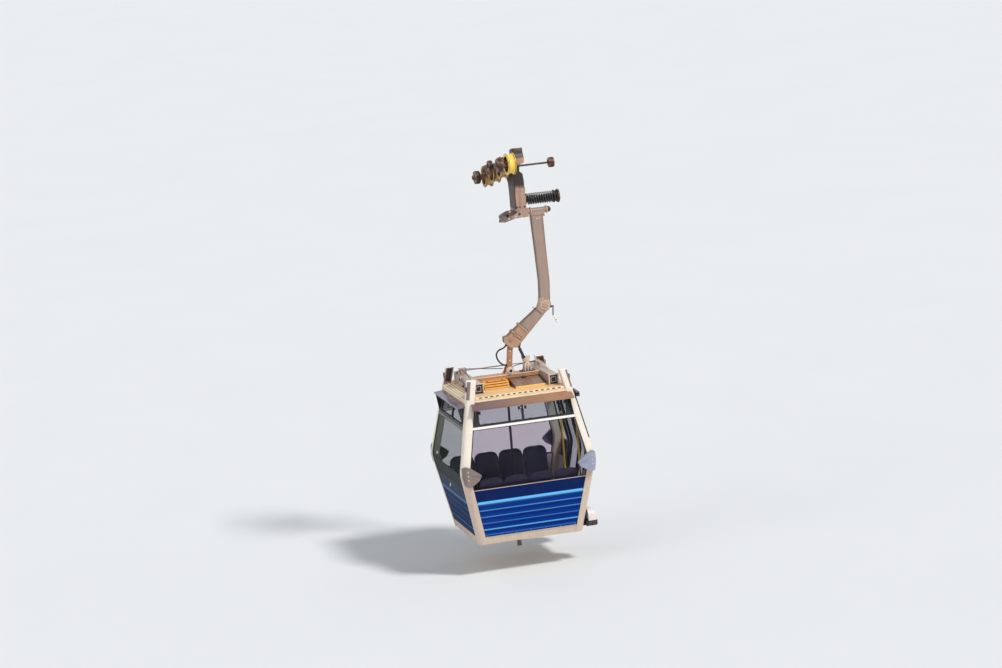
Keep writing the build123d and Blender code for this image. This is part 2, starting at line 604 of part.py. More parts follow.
def drop_link():
    """Link from the slot in the lower arm to the cabin's pivot eye."""
    x1, z1 = LINK_TOP
    link = plate_y([(x1 - LINK_R, z1 - 16), (x1 + LINK_R, z1 - 16), (BOSS_X + LINK_R, LINK_FOOT_Z),
                    (BOSS_X - LINK_R, LINK_FOOT_Z)], -SLOT_HALF, SLOT_HALF)
    link += eye(BOSS_X, LINK_FOOT_Z, LINK_R, -LINK_W / 2, LINK_W / 2)
    return link - eye(BOSS_X, LINK_FOOT_Z, BOSS_PIN_R + RUN_GAP, -LINK_W, LINK_W)


def crank():
    """Small hand crank at the bend."""
    hub = rod((812, 0, 2330), (880, 0, 2330), 16)
    arm = rod((872, 0, 2330), (860, 0, 2190), 10)
    grip = rod((860, 0, 2196), (918, 0, 2077), 9) + Pos(918, 0, 2077) * Sphere(22)
    return hub + arm + grip


def damper():
    """Tube hung from the arm, and the rod whose eye goes round the clevis pin."""
    top, foot = Vector(DAMPER_TOP[0], 0, DAMPER_TOP[1]), Vector(CLEVIS_X, 0, LINK_FOOT_Z + CLEVIS_RISE)
    along = (foot - top).normalized()
    tube = rod(top + along * TUBE_START, top + along * TUBE_END, TUBE_R)
    tube -= rod(top + along * (TUBE_START + 26), top + along * (TUBE_END + 1), STEM_R + 0.5)
    tilt = Location((top.X, 0, top.Z), (0, -degrees(atan(along.X / -along.Z)), 0))
    for y0, y1 in ((-EAR_HALF - 12, -EAR_HALF - 1), (EAR_HALF + 1, EAR_HALF + 12)):
        tube += eye(top.X, top.Z, EYE_R, y0, y1)
        tube += block(-9, 9, y0, y1, -TUBE_START - 11, 0).moved(tilt)
    tube += eye(top.X, top.Z, CLEVIS_PIN_R, -EAR_HALF - 16, EAR_HALF + 16)
    stem = rod(top + along * (TUBE_START + 81), foot - along * 14, STEM_R)
    stem += eye(foot.X, foot.Z, EYE_R, -EAR_HALF - 1, EAR_HALF + 1)
    return tube, stem - eye(foot.X, foot.Z, CLEVIS_PIN_R + PIN_PLAY, -ARM_DEPTH, ARM_DEPTH)


CABLE_ROUTE = [(39.8, -45, 1809.8), (-10, -45, 1760), (-105, -48, 1735), (-150, -50, 1668), (-128, -45, 1580),
               (-72, -25, 1508), (-15, -12, 1474), (25.6, -12, 1470)]
CABLE_R = 13.0


def cable_radii(points):
    """Each bend's radius, 0.45 of its shorter run over the tangent of half its turn."""
    points = [Vector(*p) for p in points]
    radii = []
    for a, b, c in zip(points, points[1:], points[2:]):
        turn = (b - a).get_angle(c - b)
        radii.append(0.45 * min((b - a).length, (c - b).length) / tan(radians(turn / 2)))
    return radii


def cable():
    """Lead from the lower arm's end down to the link, fixed at both ends."""
    path = FilletPolyline(*CABLE_ROUTE, radius=cable_radii(CABLE_ROUTE))
    return sweep(Plane(origin=path @ 0, z_dir=path % 0) * Circle(CABLE_R), path)


# Carriage

def track_wheel(y):
    """Grooved wheel with a liner groove, dished sides and a hub."""
    w, b = WHEEL_W / 2, WHEEL_BORE + RUN_GAP
    profile = [(b, -w - 4), (60, -w - 4), (66, -22), (118, -22), (126, -w), (WHEEL_R, -w), (WHEEL_R, -w + 14),
               (GROOVE_R, -20), (GROOVE_R, 20), (WHEEL_R, w - 14), (WHEEL_R, w), (126, w), (118, 22), (66, 22),
               (60, w + 4), (b, w + 4)]
    wheel = revolve(Plane.XY * Polygon(*profile, align=None), Axis.Y)
    return on_line(Pos(0, y, AXLE_Z) * Rot(Z=90) * wheel)


def roller(x0, x1, y, z, radius, bore):
    body = rod_x(x0, x1, y, z, radius)
    body = chamfer(body.edges(), 6)
    return body - rod_x(x0 - 1, x1 + 1, y, z, bore + RUN_GAP)


def bogie(side):
    """Two boomerang plates on their pivot pin and the two wheel axles through them."""
    ys = [y for y in WHEEL_Y if y * side > 0]
    yc = side * BOGIE_Y
    body = None
    for x0 in (-PLATE_X - PLATE_T, PLATE_X):
        plate = plate_x([(ys[0] - 48, AXLE_Z - 50), (ys[0] + 60, AXLE_Z - 62), (yc, BOGIE_Z - 62),
                         (ys[1] - 60, AXLE_Z - 62), (ys[1] + 48, AXLE_Z - 50), (ys[1] + 52, AXLE_Z + 40),
                         (yc + 50, BOGIE_Z + 70), (yc - 50, BOGIE_Z + 70), (ys[0] - 52, AXLE_Z + 40)],
                        x0, x0 + PLATE_T)
        body = plate if body is None else body + plate
    body += rod_x(-PLATE_X - PLATE_T - 12, BEAM_X0, yc, BOGIE_Z, 34)
    outer = ys[0] if side < 0 else ys[1]
    for y in ys:
        left = STATION_X0 - 12 if y == outer else -PLATE_X - PLATE_T - 12
        body += rod_x(left, PLATE_X + PLATE_T + 8, y, AXLE_Z, WHEEL_BORE)
    body += rod_x(STATION_X0 - 12, STATION_X0 - 3, outer, AXLE_Z, 48)
    body += rod_x(STATION_X1 + 3, -PLATE_X - PLATE_T, outer, AXLE_Z, 48)
    return on_line(body)


def carriage_beam():
    """Side beam over the bogies' pivots."""
    y = 640.0
    body = plate_x([(-y, 190), (y, 190), (y + 30, 260), (y, 340), (-y, 340), (-y - 30, 260)], BEAM_X0, BEAM_X1)
    groove = plate_x([(-y + 60, 225), (y - 60, 225), (y - 60, 305), (-y + 60, 305)], BEAM_X1 - 30, BEAM_X1)
    return on_line(body - groove)


def column():
    """Column from the beam down to the grip, flared at its top."""
    c, s = cos(radians(LINE_ANGLE)), sin(radians(LINE_ANGLE))

    def on_beam(y, z):
        return (y * c + z * s, -y * s + z * c)

    points = [on_beam(-330, 190), on_beam(330, 190), (COLUMN_Y + 30, -60), (COLUMN_Y, -200),
              (COLUMN_Y, COLUMN_FOOT), (-COLUMN_Y, COLUMN_FOOT), (-COLUMN_Y, -200), (-COLUMN_Y - 40, -20)]
    thick = plate_x(points, COLUMN_X0, BEAM_X1)
    return thick + block(BEAM_X1, COLUMN_X1, -COLUMN_Y, COLUMN_Y, COLUMN_FOOT, -120)


def grip():
    """Grip body with its fixed lower jaw, reaching from the rope to the hanger's shaft."""
    z = -HAUL_DROP
    body = on_line(plate_y([(-60, z - 1.5), (-72, z - 60), (30, z - 72), (240, z - 20), (240, z + 60),
                            (90, z - 1.5)], -150, 150))
    body -= on_line(rod((0, -200, z), (0, 200, z), HAUL_ROPE_R))
    pz = -SHAFT_DROP
    house = block(COLUMN_X0, ARM_TOP_X0 + CABIN_X - 60, -COLUMN_Y, COLUMN_Y, pz - 65, COLUMN_FOOT)
    house -= block(COLUMN_X1, 500, -COLUMN_Y - 1, COLUMN_Y + 1, pz + 60, COLUMN_FOOT + 1)
    shaft = rod_x(COLUMN_X1, ARM_TOP_X1 + CABIN_X + 12, 0, pz, SHAFT_R)
    nut = rod_x(ARM_TOP_X1 + CABIN_X + 6, ARM_TOP_X1 + CABIN_X + 42, 0, pz, 40)
    collar = rod_x(COLUMN_X1, ARM_TOP_X0 + CABIN_X - 6, 0, pz, 50)
    return body + house + shaft + nut + collar


def moving_jaw():
    """Upper jaw that closes on the haul rope."""
    z = -HAUL_DROP
    jaw = plate_y([(-60, z + 1.5), (-66, z + 48), (-10, z + 84), (110, z + 92), (165, z + 60), (165, z + 29.55),
                   (96.6, z + 1.5)], -150, 150)
    return on_line(jaw - rod((0, -200, z), (0, 200, z), HAUL_ROPE_R))


def spring_pack():
    """Grip spring on its guide tube, shown as its turns, with the end disc."""
    count = 9
    pitch = (SPRING_X1 - SPRING_X0) / count
    profile = [(SPRING_X0, 0), (SPRING_X0, SPRING_R - 24)]
    for i in range(count):
        x = SPRING_X0 + i * pitch
        profile += [(x + pitch * 0.25, SPRING_R - 24), (x + pitch * 0.25, SPRING_R), (x + pitch * 0.75, SPRING_R),
                    (x + pitch * 0.75, SPRING_R - 24)]
    profile += [(SPRING_X1, SPRING_R - 24), (SPRING_X1, 0)]
    coil = revolve(Polygon(*profile, align=None), Axis.X)
    disc = chamfer(rod_x(SPRING_X1, SPRING_X1 + 40, 0, 0, SPRING_R + 12).edges(), 8)
    seat_disc = rod_x(COLUMN_X1, SPRING_X0, 0, 0, SPRING_R + 6)
    return Pos(0, 0, SPRING_Z) * (coil + disc + seat_disc)


def grip_lever():
    """Lever from the column's top over the rope to the coupling roller."""
    bar = block(LEVER_X1 + 4, BEAM_X0, -46, 46, LEVER_Z - 24, LEVER_Z + 24)
    pin = rod_x(LEVER_X0 - 8, LEVER_X1 + 10, 0, LEVER_Z, 22)
    return on_line(bar + pin + rod_x(LEVER_X0 - 14, LEVER_X0 - 3, 0, LEVER_Z, 34))


def guide_arm():
    """Thin shaft out to the guide roller."""
    shaft = rod_x(BEAM_X1, GUIDE_X1 + 8, 0, GUIDE_Z, 16)
    for x in (GUIDE_X0 - 14, GUIDE_X1 + 3):
        shaft += rod_x(x, x + 11, 0, GUIDE_Z, 30)
    return shaft


def finned_box():
    """Dark ribbed unit on the front of the beam."""
    body = block(BEAM_X0 + 10, BEAM_X1 - 10, -620, -440, 340, 400)
    for i in range(5):
        y = -610 + i * 38
        body += block(BEAM_X0 + 10, BEAM_X1 - 10, y, y + 16, 400, 430)
    return on_line(body)


def make_cabin():
    save("floor_pan", on_cabin(floor_pan()))
    save("roof_lid", on_cabin(roof()))
    corner = pillar()
    ear = buffer() - corner.mirror(Plane.XZ).mirror(Plane.YZ)
    posts, buffers = [], []
    for flip_x, flip_y in ((0, 0), (1, 0), (0, 1), (1, 1)):
        post, bump = corner, ear
        if flip_x:
            post = post.mirror(Plane.YZ)
        if flip_y:
            post = post.mirror(Plane.XZ)
        if not flip_x:
            bump = bump.mirror(Plane.YZ)
        if not flip_y:
            bump = bump.mirror(Plane.XZ)
        posts.append(on_cabin(post))
        buffers.append(on_cabin(bump))
    save("corner_pillars", *posts)
    save("corner_buffers", *buffers)

    panels, windows = {"end": [], "side": []}, {"end": [], "side": []}
    vents, panes, bars, visors, cheeks = [], [], [], [], []
    for face in ("front", "rear", "left"):
        kind = KIND[face]
        panels[kind].append(facing(face, lower_panel(kind)))
        windows[kind].append(facing(face, window(kind)))
        bars.append(facing(face, window_bar(kind)))
        frame, glass = vent_strip(kind)
        vents.append(facing(face, frame))
        panes += [facing(face, pane) for pane in glass]
        board, ends = visor(kind)
        visors.append(facing(face, board))
        cheeks += [facing(face, end) for end in ends]

    jamb = DOOR_HALF + PORTAL_T
    for span in ((None, -jamb), (jamb, None)):
        panels["side"].append(facing("right", lower_panel("side", span)))
        windows["side"].append(facing("right", window("side", span)))
        bars.append(facing("right", window_bar("side", span)))
        vents.append(facing("right", wall("side", Z_BAR + BAR_H / 2, Z_ROOF, 0, FRAME_T, span)))
    for kind in ("end", "side"):
        save(f"{kind}_lower_panels", *panels[kind])
        save(f"{kind}_windows", *windows[kind])
    save("window_bars", *bars)
    save("vent_frames", *vents)
    save("vent_panes", *panes)
    save("visors", *visors)
    save("visor_cheeks", *cheeks)

    save("door_portal", facing("right", portal()))
    save("door_rails", facing("right", door_header()), facing("right", door_track()))
    for name, side in (("front", -1), ("rear", 1)):
        frame, glass = leaf(side)
        save(f"{name}_door_leaf", facing("right", frame))
        save(f"{name}_door_glass", facing("right", glass))
    guides = [side_guide(side) for side in (-1, 1)]
    save("guide_shoes", *[on_cabin(shoe) for shoe, house in guides])
    save("guide_housings", *[on_cabin(house) for shoe, house in guides])

    handles, post = poles()
    save("door_handles", *[on_cabin(handle) for handle in handles])
    save("centre_post", on_cabin(post))
    save("seats", *[facing(face, shell) for face in ("front", "rear") for shell in seats()])
    save("bench_frames", *[facing(face, bench_frame()) for face in ("front", "rear")])
    save("floor_guide_pin", on_cabin(rod((0, 0, -1506), (0, 0, Z_BOTTOM), 35)))

    save("roof_tubes", *[on_cabin(roof_tube(side)) for side in (-1, 1)])
    save("cross_beam", on_cabin(cross_beam()))
    save("solar_panel", on_cabin(solar_panel()))
    save("battery_box", on_cabin(battery_box()))
    save("door_drive", on_cabin(door_drive()))


def make_hanger():
    save("hanger_arm", on_hanger(hanger_arm()))
    save("hanger_elbow", on_hanger(hanger_elbow()))
    save("lower_arm", on_hanger(lower_arm()))
    save("drop_link", on_hanger(drop_link()))
    save("hand_crank", on_hanger(crank()))
    tube, stem = damper()
    save("damper_tube", on_hanger(tube))
    save("damper_rod", on_hanger(stem))
    save("hanger_cable", on_hanger(cable()))


def make_carriage():
    for number, y in enumerate(WHEEL_Y, 1):
        save(f"track_wheel_{number}", track_wheel(y))
    for name, side in (("front", -1), ("rear", 1)):
        y = side * max(WHEEL_Y)
        save(f"{name}_station_roller", on_line(roller(STATION_X0, STATION_X1, y, AXLE_Z, STATION_R, WHEEL_BORE)))
    save("bogies", *[bogie(side) for side in (-1, 1)])
    save("carriage_beam", carriage_beam())
    save("carriage_column", column())
    save("grip_body", grip())
    save("moving_jaw", moving_jaw())
    save("spring_pack", spring_pack())
    save("lever_roller", on_line(roller(LEVER_X0, LEVER_X1, 0, LEVER_Z, LEVER_R, 22)))
    save("roller_arms", grip_lever(), guide_arm())
    save("guide_roller", roller(GUIDE_X0, GUIDE_X1, 0, GUIDE_Z, GUIDE_R, 16))
    save("finned_box", finned_box())


os.makedirs("parts", exist_ok=True)
make_cabin()
make_hanger()
make_carriage()
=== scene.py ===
from math import cos, pi, radians, sin, sqrt

import bmesh
import bpy
from mathutils import Matrix, Vector


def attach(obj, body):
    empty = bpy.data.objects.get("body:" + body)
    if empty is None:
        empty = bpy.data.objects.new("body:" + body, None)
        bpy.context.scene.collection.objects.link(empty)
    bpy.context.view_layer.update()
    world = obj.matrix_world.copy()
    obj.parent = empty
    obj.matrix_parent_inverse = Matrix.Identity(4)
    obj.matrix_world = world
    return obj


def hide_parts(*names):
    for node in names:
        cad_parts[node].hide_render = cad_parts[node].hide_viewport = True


# Camera, in metres, in the part's frame
LENS_MM, SENSOR_MM = 125.75, 36.0
EYE = (-14.066, -53.258, 7.881)
EYE_RIGHT = (0.960753, -0.265794, -0.079361)
EYE_UP = (0.124519, 0.157597, 0.979616)
EYE_BACK = (-0.24787, -0.95106, 0.18451)

# The cabin's own axis at the belt, where its walls are widest
CABIN = Vector((-0.160, 0.0, -4.435))
BELT = {"side": 1.106, "end": 1.020}
SLOPE = {"side": 0.206, "end": 0.192}
OTHER = {"side": "end", "end": "side"}
KIND = {"front": "end", "rear": "end", "left": "side", "right": "side"}
TURN = {"front": 0, "right": 90, "rear": 180, "left": -90}
BELT_BEND = 0.080
POST_HALF, POST_IN, POST_ROUND = 0.068, 0.056, 0.093
POST_FACE = POST_HALF + POST_IN
Z_BOTTOM, Z_SILL, Z_GLASS, Z_BAR, Z_ROOF = -1.215, -1.090, -0.280, 0.697, 1.050
BAR_HALF = 0.018
Z_STEP, Z_DECK, Z_TOP = 1.135, 1.178, 1.428
DECK_HALF, STEP_IN = 0.702, 0.012
PANEL_T = 0.040

# Doors
DOOR_HALF, JAMB = 0.470, 0.510
LEAF_OUT, LEAF_SPLIT, LEAF_W, LEAF_BORDER = 0.048, 0.003, 0.485, 0.048
LEAF_LOW, LEAF_HIGH, LEAF_GLASS_LOW, LEAF_GLASS_HIGH = -1.120, 0.975, -0.740, 0.905
RAIL_Z, RAIL_REACH = 1.020, 0.760
GUIDE_Z, GUIDE_OUT, GUIDE_END = -1.119, 0.280, 0.760
HANDLE_X, HANDLE_Y, HANDLE_LOW, HANDLE_HIGH = 0.985, 0.444, -0.430, 0.480

# Seats
SEAT_PITCH, SEAT_W, SEAT_BEND = 0.412, 0.396, 0.070
SEAT_FRONT, SEAT_HEEL = Vector((-0.3835, -0.729)), Vector((-0.8045, -0.754))
SEAT_HEAD = Vector((-0.939, -0.125))
PAN_LENGTH, BACK_LENGTH = (SEAT_HEEL - SEAT_FRONT).length, (SEAT_HEAD - SEAT_HEEL).length
SEAT_LENGTH = PAN_LENGTH + BACK_LENGTH

# Roof gear
TUBE_X, TUBE_W, TUBE_H, TUBE_HALF = 0.620, 0.150, 0.170, 0.620
BEAM_TOP, BEAM_HALF = 1.336, 0.075
BOSS, CLEVIS = Vector((0.060, 0, 1.386)), Vector((0.360, 0, 1.456))
EAR_FACE, CLEVIS_FACE = 0.077, 0.034

# The rope, the carriage and the hanger
LINE_ANGLE = radians(14)
AXLE_Z = 0.180
WHEEL_Y = (-0.750, -0.250, 0.250, 0.750)
WHEEL_R, WHEEL_HALF, GROOVE_R, DISH_X = 0.172, 0.062, 0.145, 0.022
BOGIE_Y, BOGIE_Z, PLATE_FACE = 0.500, 0.265, 0.089
BEAM_X, BEAM_X1 = 0.184, 0.264
COLUMN_X1, COLUMN_HALF = 0.357, 0.150
STATION_X, LEVER_X, LEVER_Z, GUIDE_ROLLER_X, ARM_ROD_Z = -0.174, -0.129, 0.265, 0.860, 0.213
SPRING_X0, SPRING_X1, SPRING_R, SPRING_Z = 0.400, 0.905, 0.096, -0.335
SHAFT = Vector((0, 0, -0.530))
ARM_HALF = 0.060
SHAFT_BOSS_Z, ELBOW_X, ELBOW_Z = 3.905, 0.722, 2.372
DAMPER_TOP = Vector((0.250, 0, 1.742))
HAUL_DROP = 0.578
FLOOR_Z = -6.20


def camera():
    """Camera at the photograph's place, angle and lens."""
    eye = bpy.data.objects.new("camera", bpy.data.cameras.new("camera"))
    eye.data.lens, eye.data.sensor_width = LENS_MM, SENSOR_MM
    eye.data.clip_end = 1000
    turn = Matrix((EYE_RIGHT, EYE_UP, EYE_BACK)).transposed().to_4x4()
    eye.matrix_world = Matrix.Translation(EYE) @ turn
    bpy.context.collection.objects.link(eye)
    bpy.context.scene.camera = eye


camera()
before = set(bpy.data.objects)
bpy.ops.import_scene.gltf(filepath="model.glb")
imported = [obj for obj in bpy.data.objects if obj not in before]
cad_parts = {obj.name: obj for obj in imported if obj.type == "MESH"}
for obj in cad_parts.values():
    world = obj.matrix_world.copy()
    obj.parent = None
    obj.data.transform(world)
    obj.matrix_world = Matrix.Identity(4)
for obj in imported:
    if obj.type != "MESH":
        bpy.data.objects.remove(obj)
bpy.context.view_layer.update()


# Places

HERE = Matrix.Identity(4)
CAB = Matrix.Translation(CABIN)
LINE = Matrix.Rotation(-LINE_ANGLE, 4, "X")
AXLE = ((1, 0, 0), (0, 1, 0))  # up and across of a place whose local Z lies along X
AXLE_BACK = ((-1, 0, 0), (0, 1, 0))  # the same, facing the other way


def stand(point, up, across=(1, 0, 0)):
    """Place whose local Z runs up, with local X as near as can be to across."""
    z = Vector(up).normalized()
    y = z.cross(Vector(across))
    if y.length < 0.01:
        y = z.cross(Vector((0, 1, 0)))
    y.normalize()
    return Matrix.Translation(point) @ Matrix((y.cross(z), y, z)).transposed().to_4x4()


def cab(x, y, z, up=(0, 0, 1), across=(1, 0, 0)):
    """Place in the cabin's own measures."""
    return CAB @ stand((x, y, z), up, across)


def on_line(x, y, z, up=(0, 0, 1), across=(1, 0, 0)):
    """Place in the carriage's measures, square with the rope."""
    return LINE @ stand((x, y, z), up, across)


def half(kind, z):
    """Half the cabin's width or length at a height, eased over the belt."""
    if abs(z) >= BELT_BEND:
        return BELT[kind] - SLOPE[kind] * abs(z)
    run = z + BELT_BEND
    return BELT[kind] - SLOPE[kind] * (BELT_BEND - run + run * run / (2 * BELT_BEND))


def lean(kind, z):
    """How fast a wall moves out with height."""
    return -SLOPE[kind] * max(-1.0, min(1.0, z / BELT_BEND))


def on_wall(face, across, z, out=0.0):
    """Place on a wall: local X across to the right as seen from outside, Y up the slope, Z outwards."""
    kind = KIND[face]
    local = stand((across, -half(kind, z) - out, z), (0, -1, -lean(kind, z)))
    return CAB @ Matrix.Rotation(radians(TURN[face]), 4, "Z") @ local


def post_face(face, z, gap=0.0):
    """How far across a wall the corner post's face is."""
    return half(OTHER[KIND[face]], z) - POST_FACE - gap


def row(start, end, count):
    """Evenly spaced values from start to end."""
    return [start + (end - start) * i / (count - 1) for i in range(count)]


# Finishes

def paint(red, green, blue):
    """Linear colour from a paint card's 0 to 255 values."""
    return tuple((c / 12.92 if c <= 0.04045 else ((c + 0.055) / 1.055) ** 2.4)
                 for c in (red / 255, green / 255, blue / 255)) + (1.0,)


CREAM, BROWN = paint(236, 224, 208), paint(178, 146, 124)


def tone(colour, factor):
    """The same paint, darker or lighter."""
    return tuple(min(1.0, c * factor) for c in colour[:3]) + (1.0,)


class Num:
    """A number in a material, whose sums become Math nodes."""

    def __init__(self, finish, socket):
        self.finish, self.socket = finish, socket

    def math(self, operation, first, second=0.0):
        return self.finish.node("Math", {"operation": operation}, {0: first, 1: second})

    def __add__(self, other):
        return self.math("ADD", self, other)

    def __sub__(self, other):
        return self.math("SUBTRACT", self, other)

    def __rsub__(self, other):
        return self.math("SUBTRACT", other, self)

    def __mul__(self, other):
        return self.math("MULTIPLY", self, other)

    def __truediv__(self, other):
        return self.math("DIVIDE", self, other)

    def __abs__(self):
        return self.math("ABSOLUTE", self)

    __radd__, __rmul__ = __add__, __mul__


class Finish:
    """One material: a Principled shader and what shapes its colour and surface."""

    def __init__(self, name, colour, rough, metal=0.0, **plain):
        self.material = bpy.data.materials.new(name)
        self.material.use_nodes = True
        self.tree = self.material.node_tree
        self.shader = self.tree.nodes["Principled BSDF"]
        self.set("Base Color", colour)
        self.set("Roughness", rough)
        self.set("Metallic", metal)
        for socket, value in plain.items():
            self.set(socket.replace("_", " "), value)
        self.place = self.node("TexCoord", {}, {}, "Object")

    def link(self, socket, value):
        if isinstance(value, Num):
            self.tree.links.new(value.socket, socket)
        else:
            socket.default_value = value

    def set(self, socket, value):
        self.link(self.shader.inputs[socket], value)

    def node(self, kind, settings, inputs, output=0):
        """One shader node: its settings first, then its sockets."""
        made = self.tree.nodes.new("ShaderNode" + kind)
        for key, value in settings.items():
            setattr(made, key, value)
        for key, value in inputs.items():
            self.link(made.inputs[key], value)
        return Num(self, made.outputs[output])

    def axis(self, name):
        """How far along X, Y or Z, in metres."""
        return self.node("SeparateXYZ", {}, {0: self.place}, name)

    def cabin(self, name):
        """How far along X or Z from the cabin's own axis at its belt."""
        return self.axis(name) - {"X": CABIN.x, "Z": CABIN.z}[name]

    def mix(self, factor, first, second):
        return self.node("Mix", {"data_type": "RGBA"}, {0: factor, 6: first, 7: second}, 2)

    def noise(self, scale, detail=3.0, stretch=(1, 1, 1)):
        """Soft noise from 0 to 1, with as many lumps in a metre as its scale."""
        place = self.node("Mapping", {}, {"Vector": self.place, "Scale": stretch})
        return self.node("TexNoise", {}, {"Vector": place, "Scale": scale, "Detail": detail})

    def cut(self, value, low, high):
        """0 below low and 1 above high, with a smooth step between."""
        return self.node("MapRange", {"interpolation_type": "SMOOTHSTEP"},
                         {"Value": value, "From Min": low, "From Max": high})

    def band(self, value, centre, width, soft=0.002):
        """1 within a band round a value."""
        return 1 - self.cut(abs(value - centre), width / 2 - soft, width / 2 + soft)

    def bump(self, height, strength, distance=0.002):
        inputs = {"Strength": strength, "Distance": distance, "Height": height}
        self.set("Normal", self.node("Bump", {}, inputs))


def weather(finish, base, rough, dirt, grain=90.0, rise=0.12, dark=0.62):
    """Broad tone, streaks that run down, and a fine orange peel over a base colour."""
    broad = finish.noise(2.3, 4.0)
    streak = finish.noise(14.0, 5.0, (1, 1, 0.12))
    film = finish.cut(broad * 0.55 + streak * 0.45, 0.42, 0.68)
    shade = finish.node("Mix", {"data_type": "RGBA", "blend_type": "MULTIPLY"},
                        {0: film * dirt, 6: base, 7: (dark, dark * 0.94, dark * 0.88, 1)}, 2)
    finish.set("Base Color", shade)
    finish.set("Roughness", finish.noise(22.0, 3.0) * 0.16 + (rough - 0.08) + film * 0.06)
    finish.bump(finish.noise(grain, 2.0), rise)
    return finish


def weathered(name, colour, rough, metal=0.0, dirt=0.22, grain=90.0, rise=0.12, **plain):
    """Paint on metal or plastic out in the weather."""
    return weather(Finish(name, colour, rough, metal, **plain), colour, rough, dirt, grain, rise)


def cast(name, colour, rough=0.55, metal=0.0, oil=0.3):
    """Cast or forged steel under worn paint, with dark grease in patches."""
    finish = Finish(name, colour, rough, metal)
    patch = finish.cut(finish.noise(9.0, 6.0), 0.52, 0.66)
    chip = finish.cut(finish.noise(38.0, 4.0), 0.66, 0.72)
    base = finish.mix(patch * oil, colour, tone(colour, 0.35))
    finish.set("Base Color", finish.mix(chip * 0.5, base, tone(colour, 1.35)))
    finish.set("Roughness", finish.noise(30.0) * 0.2 + (rough - 0.1))
    finish.bump(finish.noise(70.0, 4.0), 0.25)
    return finish


def plain(name, colour, rough, grain=200.0, rise=0.1, metal=0.0, **more):
    """Moulded or bare material with a fine grain."""
    finish = Finish(name, colour, rough, metal, **more)
    finish.set("Base Color", finish.mix(finish.noise(6.0, 4.0), tone(colour, 0.86), tone(colour, 1.12)))
    finish.set("Roughness", finish.noise(18.0) * 0.14 + (rough - 0.07))
    finish.bump(finish.noise(grain, 2.0), rise, 0.001)
    return finish


def glazing(name, tint, dark, share, painted_reflection_share=0.0, mirror=0.5):
    """Clear tinted sheet: what is behind shows through the tint, and the rest mirrors what is outside.
    Under the belt a painted reflection of what lies below makes the sheet denser."""
    finish = Finish(name, dark, 0.08, Specular_IOR_Level=mirror)
    clear = finish.node("BsdfTransparent", {}, {"Color": tint}, "BSDF")
    slant = finish.node("LayerWeight", {}, {"Blend": 0.5}, "Facing")
    haze = finish.cut(finish.noise(1.6, 3.0), 0.35, 0.75)
    # Painted reflection: under the belt the sheet turns towards its dark colour by height
    below = 1 - finish.cut(finish.cabin("Z"), -0.06, 0.0)
    factor = slant * slant * slant * 0.35 + haze * 0.02 + below * painted_reflection_share + share
    mixed = finish.node("MixShader", {}, {0: factor, 1: clear, 2: Num(finish, finish.shader.outputs[0])}, 0)
    finish.link(finish.tree.nodes["Material Output"].inputs["Surface"], mixed)
    return finish


# Each light stripe, a painted highlight along a rib's top: its height, width and strength, and the lower edge
# of the dark band above them
RIB_HIGHLIGHTS = ((-0.507, 0.042, 1.0), (-0.636, 0.015, 0.42), (-0.748, 0.014, 0.38), (-0.858, 0.014, 0.24),
           (-0.964, 0.016, 0.75), (-1.056, 0.012, 0.30))
BAND_LOW = -0.482


def striped(name, navy, royal, sky, band_low, rough=0.24, mirror=0.12):
    """Blue panel: a dark band over pressed ribs, each with a light stripe painted along its top as a highlight,
    a painted highlight fading below it and painted shade under that.
    """
    finish = Finish(name, royal, rough, 0.0, Specular_IOR_Level=mirror)
    height = finish.cabin("Z")
    base = finish.mix(finish.cut(height, band_low - 0.004, band_low + 0.004), royal, navy)
    for level, width, share in RIB_HIGHLIGHTS:
        if level < band_low:
            # Painted shade in the band under each rib
            rib_underside_shade = finish.band(height, level - width * 0.5 - 0.030, 0.030, 0.012)
            base = finish.mix(rib_underside_shade * 0.5, base, tone(royal, 0.4))
            # Painted highlight fading down from each stripe
            highlight_falloff = finish.band(height, level - width * 0.5, width * 1.1, width * 0.45)
            base = finish.mix(highlight_falloff * 0.45 * share, base, tone(sky, 0.45))
            # The light stripe itself: a painted highlight along the rib's top
            base = finish.mix(finish.band(height, level, width, width * 0.22) * share, base, sky)
    dust = finish.cut(finish.noise(3.0, 5.0, (1, 1, 0.4)), 0.45, 0.75)
    finish.set("Base Color", finish.mix(dust * 0.02, base, paint(120, 130, 145)))
    finish.set("Roughness", finish.noise(20.0) * 0.12 + (rough - 0.04) + dust * 0.1)
    finish.bump(finish.noise(160.0), 0.05, 0.001)
    return finish


def roof_paint():
    """Roof lid: cream edges with a dark joint at the step and painted shadow in the recess over the visors, and
    the warm worn deck between them.
    """
    cream, ochre = paint(250, 226, 188), paint(240, 196, 140)
    finish = Finish("roof_paint", cream, 0.5)
    height = finish.cabin("Z")
    base = finish.mix(finish.cut(height, Z_DECK - 0.006, Z_DECK - 0.001), cream, ochre)
    base = finish.mix(finish.band(height, Z_STEP, 0.010, 0.003) * 0.6, base, paint(104, 92, 66))
    # Painted shadow in the recess between the roof's edge and the visors
    base = finish.mix(finish.band(height, Z_ROOF + 0.012, 0.016, 0.004) * 0.8, base, paint(70, 54, 46))
    across = abs(finish.cabin("X"))
    side = finish.cut(across, DECK_HALF - 0.01, DECK_HALF + 0.01)
    base = finish.mix(finish.cut(height, Z_STEP, Z_STEP + 0.01) * side * 0.4, base, paint(244, 222, 204))
    for line in (0.734, 0.776, 0.818):
        base = finish.mix(finish.band(across, line, 0.012, 0.003) * 0.6, base, paint(150, 118, 92))
    return weather(finish, base, 0.55, 0.32, 150.0, 0.15)


def bar_paint():
    """Window bars: white across both ends, dark along the sides."""
    finish = Finish("bar_paint", paint(246, 240, 234), 0.32)
    side = finish.cut(abs(finish.cabin("X")), 0.90, 0.91)
    return weather(finish, finish.mix(side, paint(246, 240, 234), paint(84, 74, 76)), 0.34, 0.12)


